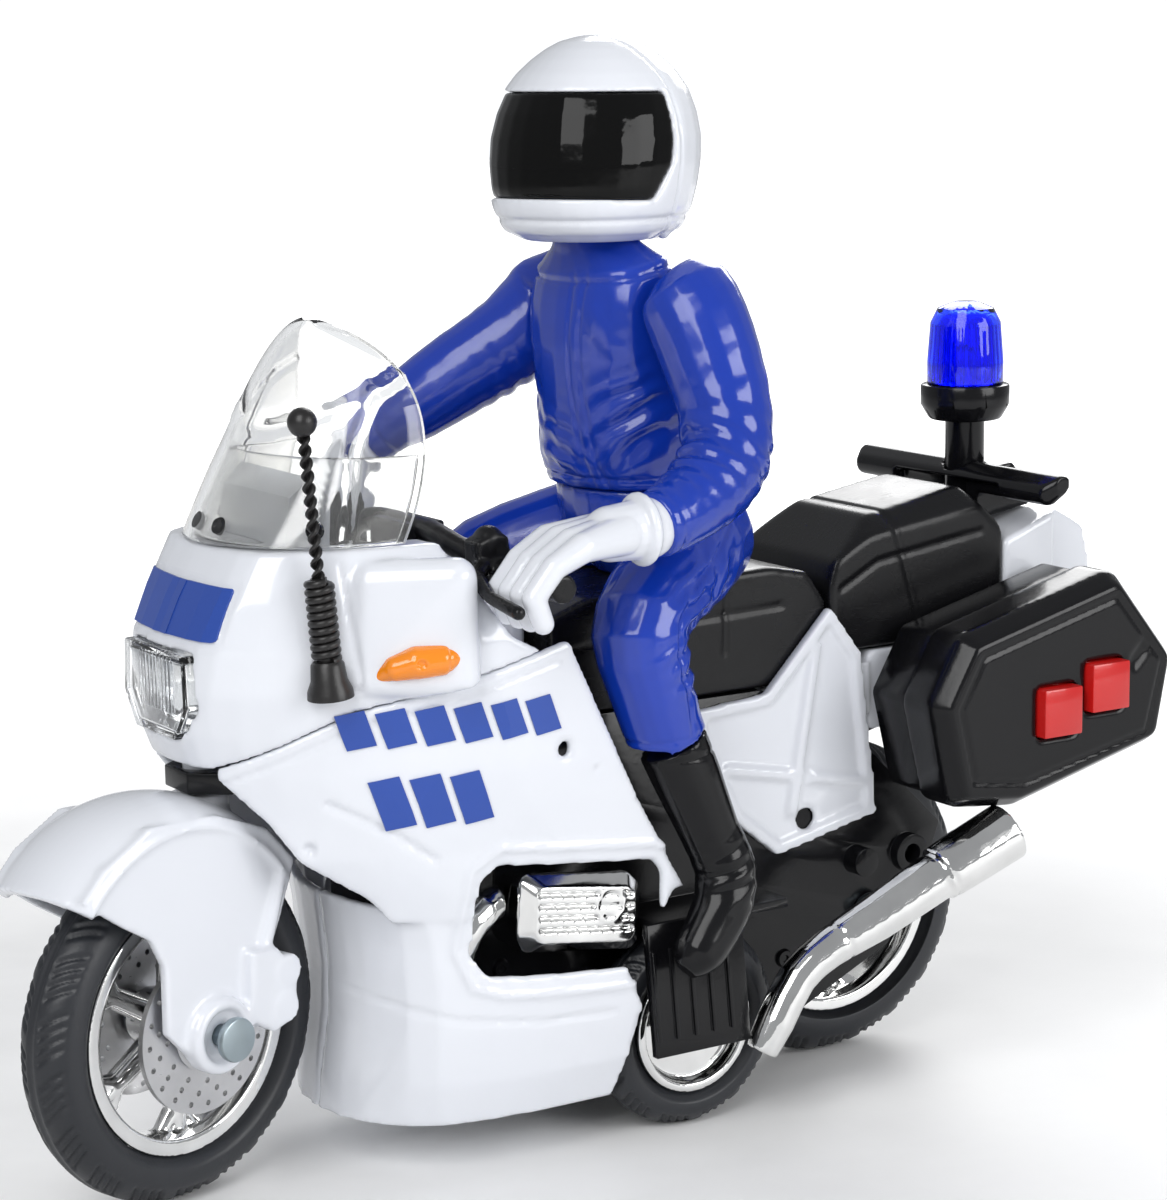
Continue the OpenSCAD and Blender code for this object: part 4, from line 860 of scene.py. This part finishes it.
class MOTORCYCLE_OT_front_end(bpy.types.Operator):
    """Make the windshield, headlamp, indicators, aerial and handlebar"""
    bl_idname = "motorcycle.front_end"
    bl_label = "Front End"

    def execute(self, context):
        shield = carve(
            shell(SHIELD_ROWS, "windshield_shell", 1.1), ring((47, 0, 108), (0.5, 0, 1), -0.25, 0.5, 30),
            *sides([(46, 92), (44, 104), (40, 112)], seam, -0.2, 0.5))
        settle(shield, BODY_OF["windshield"], "smoke_clear", "windshield")
        low = [(z, nose - 1.7, rear + 0.3, half - 1.6) for z, nose, rear, half in SHIELD_ROWS[:4]]
        settle(shell(low, "windshield_inner", 0.8), BODY_OF["shield_skirt"], "smoke_clear", "shield_skirt")
        studs = [turned(CLIP_PROFILE, place, way, 20, closed=False) for place, way in CLIPS]
        settle(joined("windshield_studs", studs), "bike", "black_gloss")
        ribs = [plate([(65.2, 69), (65.9, 69), (65.9, 76.4), (65.2, 76.4)], "y", y - 0.22, y + 0.22)
                for y in np.linspace(-4.4, 4.4, 9)]
        crisp("headlamp_lens", 0.45, *ribs)
        crisp("headlamp_reflector", 0.2)
        lamps = limb(((44.4, 22.6, 74.3), 0.9), ((42.6, 24.4, 75.5), 1.8), ((40.2, 25.8, 76.2), 2.3),
                     ((37, 26.8, 76.4), 2.2), ((34.8, 27.2, 76.6), 1.4))
        lamp = fuse_mesh(joined("indicator_left", lamps), 0.22, 3)
        carve(lamp, pit((40.6, 28.0, 76.3), 0.8, 0.5), ring((36, 27, 76.4), (1, -0.3, 0), 0.15, 0.25, 4))
        twin = mirrored(lamp)
        piece = joined("indicator_lamps", [lamp, twin])
        settle(piece, BODY_OF["indicators"], "orange_lens", "indicators")
        foot, tip = Vector((50.2, 20, 71.7)), Vector((53.4, 20, 109.4))
        lean = (tip - foot).normalized()
        whip = foot + lean * 16
        parts = [turned(AERIAL_FOOT, foot, lean, 32, closed=False),
                 rod(foot + lean * 5, foot + lean * 16.4, 1.15),
                 coil(foot + lean * 5.2, lean, 1.55, 0.55, 1.08, 10),
                 coil(whip, lean, 0.42, 0.5, 3.4, 6),
                 coil(whip, lean, 0.42, 0.5, 3.4, 6, 180),
                 ball(foot + lean * 37.4, 2.0)]
        piece = joined("aerial", parts)
        round_edges(piece, 0.05, 60, 1)
        settle(piece, BODY_OF["antenna"], SLOT_OF["antenna"], "antenna")
        levers = []
        for s in (1, -1):
            levers += limb(((26.4, s * 21, 87.6), 1.3), ((29.6, s * 24, 86.6), 1.1),
                           ((31.0, s * 30, 84.6), 0.9), ((30.6, s * 36.4, 83.4), 1.0))
            levers += limb(((25.6, s * 20.4, 90.6), 2.2), ((26.4, s * 20.4, 84.4), 2.0))
        grooves = [ring((24, s * y, 86), (0, 1, 0), 0.2, 0.25, 4) for s in (1, -1) for y in (35.8, 36.8)]
        melted("handlebar", *grooves, voxel=0.34, passes=3, extras=levers)
        return {"FINISHED"}


def coil(foot, lean, radius, wire, pitch, turns, phase=0.0):
    """A wire wound round an axis, in millimetres."""
    deselect()
    bpy.ops.mesh.primitive_circle_add(vertices=10, radius=wire * MM, rotation=(math.pi / 2, 0, 0))
    piece = bpy.context.object
    piece.location = (radius * MM, 0, 0)
    bpy.ops.object.transform_apply(location=True, rotation=True, scale=True)
    screw = piece.modifiers.new("wind", "SCREW")
    screw.axis, screw.angle, screw.iterations = "Z", 2 * math.pi, turns
    screw.screw_offset, screw.steps, screw.render_steps = pitch * MM, 24, 24
    apply_modifiers(piece)
    take(piece)
    bpy.ops.object.mode_set(mode="EDIT")
    bpy.ops.mesh.select_all(action="DESELECT")
    bpy.ops.mesh.select_non_manifold()
    bpy.ops.mesh.fill_holes(sides=0)
    bpy.ops.mesh.select_all(action="SELECT")
    bpy.ops.mesh.normals_make_consistent(inside=False)
    bpy.ops.object.mode_set(mode="OBJECT")
    piece.rotation_mode = "QUATERNION"
    piece.rotation_quaternion = Vector(lean).to_track_quat("Z", "Y") @ Matrix.Rotation(
        math.radians(phase), 3, "Z").to_quaternion()
    piece.location = Vector(foot) * MM
    take(piece)
    bpy.ops.object.transform_apply(location=True, rotation=True, scale=True)
    return piece


# ---- wheels ----
STEM_X, FRONT_X, AXLE_Z, STEER = 60.4, 67.4, 25.0, 17


def steered(piece):
    """Turn a straight-ahead part with the fork."""
    pivot = Vector((STEM_X, 0, 0)) * MM
    piece.data.transform(Matrix.Translation(pivot) @ Matrix.Rotation(math.radians(STEER), 4, "Z")
                         @ Matrix.Translation(-pivot))
    return piece


def tyre_profile(inner, outer, half):
    """Half-round tyre section as (radius, side) points, finely spaced over the tread."""
    crown = outer - half * 0.92
    round_part = [(crown + half * 0.92 * math.sin(a), half * math.cos(a))
                  for a in np.linspace(-0.12, math.pi + 0.12, 64)]
    return [(inner, half * 0.72), (inner + 1.2, half * 0.94), *round_part, (inner + 1.2, -half * 0.94),
            (inner, -half * 0.72)]


def tread(centre, outer, half, groups, count=4, depth=0.5):
    """Short slanting grooves in groups on both shoulders of a tyre."""
    def depth_at(points, normals):
        x, z = points[:, 0] - centre[0], points[:, 2] - centre[2]
        side = points[:, 1] - centre[1]
        radius, across = np.hypot(x, z), np.abs(side) / half
        lane = math.radians(360 / groups)
        turn = (np.arctan2(z, x) + np.sign(side) * lane / 4 - across * 0.16) % lane
        push = np.zeros(len(points))
        for i in range(count):
            push += np.exp(-(((turn - lane * 0.2 - i * lane * 0.19) * radius) / 0.42) ** 2)
        on_tread = radius > outer - half
        band = np.clip((across - 0.18) / 0.1, 0, 1) * np.clip((0.9 - across) / 0.1, 0, 1) * on_tread
        groove = np.exp(-((across - 0.04) / 0.07) ** 2) * on_tread
        return -depth * (push * band + 0.5 * groove)
    return depth_at


def tyre_piece(name, centre, inner, outer, half, groups, steps=420):
    """A rubber tyre with its tread, straight ahead."""
    piece = turned(tyre_profile(inner, outer, half), centre, (0, -1, 0), steps)
    piece.name = name
    take(piece)
    bpy.ops.object.shade_smooth()
    return carve(piece, tread(centre, outer, half, groups))


def rim_piece(name, centre, inner, outer, half, spokes, hub, wide=1.5):
    """A plated rim with column spokes that flare where they meet it."""
    lip = [(inner, -half * 0.5), (inner + 0.5, -half * 0.95), (outer, -half), (outer, -half * 0.8),
           (outer - 0.7, -half * 0.6), (outer - 0.7, half * 0.6), (outer, half * 0.8), (outer, half),
           (inner + 0.5, half * 0.95), (inner, half * 0.5)]
    parts = [turned(lip, centre, (0, -1, 0), 96),
             turned([(0, -hub[1]), (hub[0] * 0.8, -hub[1]), (hub[0], -hub[1] + 0.8), (hub[0], hub[1] - 0.8),
                     (hub[0] * 0.8, hub[1]), (0, hub[1])], centre, (0, -1, 0), 48, closed=False)]
    for i in range(spokes):
        turn = Matrix.Rotation(math.radians(360 / spokes * i + 90), 3, "Y")
        near, neck, far = (Vector(centre) + turn @ Vector((r, 0, 0))
                           for r in (hub[0] - 1, inner - 3.0, inner + 0.6))
        across = turn @ Vector((0, 0, 1))
        parts += [rod(near, far, wide * 1.25, wide)]
        parts += limb((tuple(neck), wide), (tuple(far - across * 3.4), 1.1))
        parts += limb((tuple(neck), wide), (tuple(far + across * 3.4), 1.1))
        parts += limb((tuple(far - across * 3.4), 1.1), (tuple(far + across * 3.4), 1.1))
    return fuse_mesh(joined(name, parts), 0.27, 3)


def disc(side):
    """A drilled brake disc beside the front wheel."""
    centre, outward = (FRONT_X, side * 6.2, AXLE_Z), (0, side, 0)
    plate_ring = turned([(5.2, 0), (11.5, 0), (11.5, 0.9), (5.2, 0.9)], centre, outward, 96)
    holes = []
    for row, (radius, count, size) in enumerate(((7.0, 12, 0.42), (8.6, 16, 0.42), (10.2, 20, 0.42))):
        for i in range(count):
            a = 2 * math.pi * (i + row * 0.5) / count
            x, z = FRONT_X + radius * math.cos(a), AXLE_Z + radius * math.sin(a)
            holes.append(rod((x, side * 5, z), (x, side * 9, z), size, sides=10))
    cut(plate_ring, joined("drills", holes))
    carrier = turned([(3, 0.1), (5.9, 0.1), (5.9, 0.8), (3, 1.4)], centre, outward, 64)
    return [plate_ring, carrier]


class MOTORCYCLE_OT_wheels(bpy.types.Operator):
    """Make the tyres with tread, the plated rims and the drilled brake discs"""
    bl_idname = "motorcycle.wheels"
    bl_label = "Wheels"

    def execute(self, context):
        front = (FRONT_X, 0, AXLE_Z)
        tyre = steered(tyre_piece("front_rubber", front, 18.2, 25, 5, 18))
        settle(tyre, "front_wheel", "tyre_rubber", "front_tyre")
        settle(steered(rim_piece("front_spokes", front, 15.4, 18.1, 3.9, 6, (4.2, 5.4))), "front_wheel",
               "chrome_plate", "front_rim")
        pair = joined("drilled_discs", disc(1) + disc(-1))
        round_edges(pair, 0.06, 50, 1)
        settle(steered(pair), "front_wheel", "silver_disc", "brake_discs")
        rear = (-46, 0, AXLE_Z)
        settle(tyre_piece("rear_rubber", rear, 18.2, 25, 6, 18), "rear_wheel", "tyre_rubber",
               "rear_tyre")
        rim = rim_piece("rear_spokes", rear, 15.6, 18.1, 4.8, 5, (4.2, 6.4), 1.9)
        settle(rim, "rear_wheel", "chrome_plate", "rear_rim")
        tyres = [tyre_piece("mid", (-8.3, s * 16.95, 15.25), 10.1, 15.25, 3.65, 12, 260) for s in (1, -1)]
        settle(joined("mid_rubbers", tyres), "driven_wheels", "tyre_rubber", "mid_tyres")
        melted("mid_rims", voxel=0.3, passes=2)
        return {"FINISHED"}


SKIRT = [(51.6, 46.4), (56.6, 51.8), (66, 55.4), (78, 56), (86, 52), (90, 48.2), (83, 43.4), (78.4, 40.6),
         (76.2, 36.4), (76.2, 27), (71, 21.4), (64, 20), (60.6, 24), (57.8, 32.2), (54.6, 39)]
BOSS = [(1.6, 7.9), (5.4, 7.9), (5.4, 10.6), (4.7, 11.3), (3.9, 11.3), (3.7, 10.4), (1.6, 10.4)]
CALIPER = [(53.4, 30.6), (54, 24.6), (58, 23.2), (62.6, 26), (62, 35.6), (57, 35.2)]


def fork_half(side):
    """One side of the fork: skirt, leg, boss, slider tube and caliper, straight ahead."""
    parts = [plate(SKIRT, "y", side * 7.9, side * 9.4)]
    parts += limb(((54.6, side * 9.1, 44.4), 1.0), ((59.4, side * 9.3, 32.6), 1.35),
                  ((63.4, side * 9.3, 24), 1.35))
    parts.append(turned(BOSS, (FRONT_X, 0, AXLE_Z), (0, side, 0), 48))
    parts.append(plate(CALIPER, "y", side * 8, side * 11.2))
    parts += [rod((x, side * 8, z), (x, side * 11.4, z), 2.3) for x, z in ((55.2, 31.6), (55.8, 26.4))]
    return parts


class MOTORCYCLE_OT_fork(bpy.types.Operator):
    """Mould the fork with its rounded mudguard, boss rings and calipers"""
    bl_idname = "motorcycle.fork"
    bl_label = "Fork and Mudguard"

    def execute(self, context):
        arc = np.linspace(-1.15, 1.15, 17)
        outer = [(25.2 - 5.6 * (1 - math.cos(a * 1.05)), 10.1 * math.sin(a) / math.sin(1.15)) for a in arc]
        inner = [(r - 1.5, t * 0.84) for r, t in reversed(outer)]
        hood = turned(outer + inner, (72, 0, 33), (0, -1, 0), 64, 150, 112)
        parts = [hood, *fork_half(1), *fork_half(-1), rod((STEM_X, 0, 52), (STEM_X, 0, 56.5), 4),
                 rod((STEM_X, 0, 52), (STEM_X, 0, 61.9), 2.4)]
        piece = fuse_mesh(joined("fork_mould", parts), 0.42, 4)
        settle(steered(piece), BODY_OF["front_fork"], "white_gloss", "front_fork")
        crisp("front_axle", 0.4)
        crisp("rear_axle", 0.4)
        return {"FINISHED"}


BADGE = [(0, 0), (2.6, 0), (2.6, 0.5), (2.1, 0.5), (1.9, 0.2), (0, 0.2)]
PANNIER_RIM = [(-50.6, 48.4), (-48, 59.4), (-52.4, 67), (-78.4, 73.4), (-87.6, 62.6), (-84.6, 51.8),
               (-60.6, 47), (-50.6, 48.4)]


class MOTORCYCLE_OT_fittings(bpy.types.Operator):
    """Make the engine covers, pipes, luggage, buttons, rail and warning lamp"""
    bl_idname = "motorcycle.fittings"
    bl_label = "Fittings"

    def execute(self, context):
        badge = [turned(BADGE, (7, s * 21.2, 36.4), (0, s, 0), 40, closed=False) for s in (1, -1)]
        melted("engine_covers", voxel=0.26, passes=2, extras=badge)
        melted("header_pipes", voxel=0.34, passes=3)
        melted("exhausts", *[ring((-47, s * 28.6, 34), (-0.83, 0, 0.5), 0.25, 0.35, 6) for s in (1, -1)],
               *[ring((-30, s * 26.6, 26), (-0.83, 0, 0.4), 0.2, 0.3, 5) for s in (1, -1)],
               voxel=0.36, passes=3)
        for node, view in (("pannier_cover_left", "+y"), ("pannier_cover_right", "-y")):
            melted(node, seam(PANNIER_RIM, view, 0.35, 0.4), voxel=0.48, passes=9)
        crisp("pannier_shells", 0.5)
        crisp("button_front", 0.6)
        crisp("button_rear", 0.6)
        melted("grab_rail", voxel=0.34, passes=3)
        crisp("lamp_post", 0.4)
        flutes = []
        for a in np.linspace(0, 2 * math.pi, 25)[:24]:
            x, y = math.cos(a), math.sin(a)
            flutes.append(rod((-74.7 + 4.8 * x, 4.8 * y, 104), (-74.7 + 4.2 * x, 4.2 * y, 112.6), 0.35,
                              sides=8))
        crisp("lamp_lens", 0.2, *flutes, angle=50)
        return {"FINISHED"}


# ---- stage ----
def add_camera(stage):
    """Camera that looks from the left front, level with the rider's hands."""
    a, e = stage.azimuth, stage.elevation
    back = Vector((math.sin(a) * math.cos(e), -math.cos(a) * math.cos(e), math.sin(e)))
    right = Vector((math.cos(a), math.sin(a), 0))
    up = back.cross(right)
    place = back * stage.distance + right * stage.aside + up * stage.above + Vector((0.066, 0, 0))
    camera = bpy.data.objects.new("camera", bpy.data.cameras.new("camera"))
    bpy.context.scene.collection.objects.link(camera)
    camera.data.lens = stage.lens
    camera.data.sensor_width = 36
    turn = Matrix((right, up, back)).transposed().to_4x4()
    camera.matrix_world = Matrix.Translation(place) @ turn @ Matrix.Rotation(stage.roll, 4, "Z")
    camera.data.clip_start, camera.data.clip_end = 0.01, 20
    bpy.context.scene.camera = camera


def seen_directly(tree):
    """1 for rays from the camera, straight or through a clear piece, and 0 for light that bounces."""
    path = tree.nodes.new("ShaderNodeLightPath")
    return math_node(tree, "MAXIMUM", path.outputs["Is Camera Ray"], path.outputs["Is Transmission Ray"])


def add_floor(size):
    """Pale floor that fades to white away from the motorcycle."""
    deselect()
    bpy.ops.mesh.primitive_plane_add(size=size, location=(0, 0, 0))
    floor = bpy.context.object
    floor.name = "floor"
    material, tree, shader = new_material("floor_paper")
    grain = noise_node(tree, object_coords(tree), 60.0, 4.0)
    tree.links.new(mix_colour(tree, map_range(tree, grain, 0.3, 0.7, 0, 1), (0.86, 0.86, 0.86),
                              (0.9, 0.9, 0.9)), shader.inputs["Base Color"])
    tree.links.new(map_range(tree, grain, 0.3, 0.7, 0.55, 0.65), shader.inputs["Roughness"])
    away = tree.nodes.new("ShaderNodeVectorMath")
    away.operation = "LENGTH"
    tree.links.new(object_coords(tree), away.inputs[0])
    fade = map_range(tree, away.outputs["Value"], 0.12, 0.8, 0, 1)
    shader.inputs["Emission Color"].default_value = (1, 1, 1, 1)
    tree.links.new(math_node(tree, "MULTIPLY", fade, seen_directly(tree)), shader.inputs["Emission Strength"])
    floor.data.materials.append(material)


def add_light(name, place, target, size, power, size_y=None):
    """A soft rectangular lamp at a place, facing a target."""
    lamp = bpy.data.lights.new(name, "AREA")
    lamp.shape = "RECTANGLE"
    lamp.size = size
    lamp.size_y = size_y or size
    lamp.energy = power
    thing = bpy.data.objects.new(name, lamp)
    bpy.context.scene.collection.objects.link(thing)
    thing.location = place
    thing.rotation_mode = "QUATERNION"
    thing.rotation_quaternion = (Vector(place) - Vector(target)).to_track_quat("Z", "Y")


class MOTORCYCLE_OT_stage(bpy.types.Operator):
    """Add the camera, the floor and the studio light"""
    bl_idname = "motorcycle.stage"
    bl_label = "Stage"

    def execute(self, context):
        stage = context.scene.motorcycle_stage
        context.scene.view_settings.view_transform = "Standard"
        add_camera(stage)
        add_floor(stage.floor_size)
        middle = (0, 0, 0.07)
        add_light("key", (0.75, 0.55, 0.75), middle, 0.6, 7.5, 0.8)
        add_light("side", (-0.45, 0.9, 0.4), middle, 0.6, 5, 0.5)
        add_light("rim", (-0.7, -0.6, 0.6), middle, 0.6, 6)
        world = bpy.data.worlds.new("studio")
        context.scene.world = world
        world.use_nodes = True
        background = world.node_tree.nodes["Background"]
        background.inputs["Color"].default_value = (0.95, 0.97, 1.0, 1)
        tree = world.node_tree
        tree.links.new(map_range(tree, seen_directly(tree), 0, 1, 0.38, 1.1), background.inputs["Strength"])
        return {"FINISHED"}


class MOTORCYCLE_PT_panel(bpy.types.Panel):
    """Sidebar list of the motorcycle's steps."""
    bl_idname = "MOTORCYCLE_PT_panel"
    bl_label = "Toy Police Motorcycle"
    bl_space_type = "VIEW_3D"
    bl_region_type = "UI"
    bl_category = "Motorcycle"

    def draw(self, context):
        for settings in (context.scene.motorcycle_finish, context.scene.motorcycle_stage):
            for label in settings.__annotations__:
                self.layout.prop(settings, label)
        for step in STEPS:
            self.layout.operator(step.bl_idname)


STEPS = [MOTORCYCLE_OT_stage, MOTORCYCLE_OT_finishes, MOTORCYCLE_OT_suit, MOTORCYCLE_OT_helmet,
         MOTORCYCLE_OT_gloves, MOTORCYCLE_OT_bodywork, MOTORCYCLE_OT_front_end, MOTORCYCLE_OT_wheels,
         MOTORCYCLE_OT_fork, MOTORCYCLE_OT_fittings]


def register():
    for cls in (FinishSettings, StageSettings, *STEPS, MOTORCYCLE_PT_panel):
        bpy.utils.register_class(cls)
    bpy.types.Scene.motorcycle_finish = bpy.props.PointerProperty(type=FinishSettings)
    bpy.types.Scene.motorcycle_stage = bpy.props.PointerProperty(type=StageSettings)


def unregister():
    del bpy.types.Scene.motorcycle_stage
    del bpy.types.Scene.motorcycle_finish
    for cls in (MOTORCYCLE_PT_panel, *reversed(STEPS), StageSettings, FinishSettings):
        bpy.utils.unregister_class(cls)


def main():
    """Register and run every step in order."""
    register()
    bpy.ops.motorcycle.stage()
    bpy.ops.motorcycle.finishes()
    bpy.ops.motorcycle.suit()
    bpy.ops.motorcycle.helmet()
    bpy.ops.motorcycle.gloves()
    bpy.ops.motorcycle.bodywork()
    bpy.ops.motorcycle.front_end()
    bpy.ops.motorcycle.wheels()
    bpy.ops.motorcycle.fork()
    bpy.ops.motorcycle.fittings()


if __name__ == "__main__":
    main()
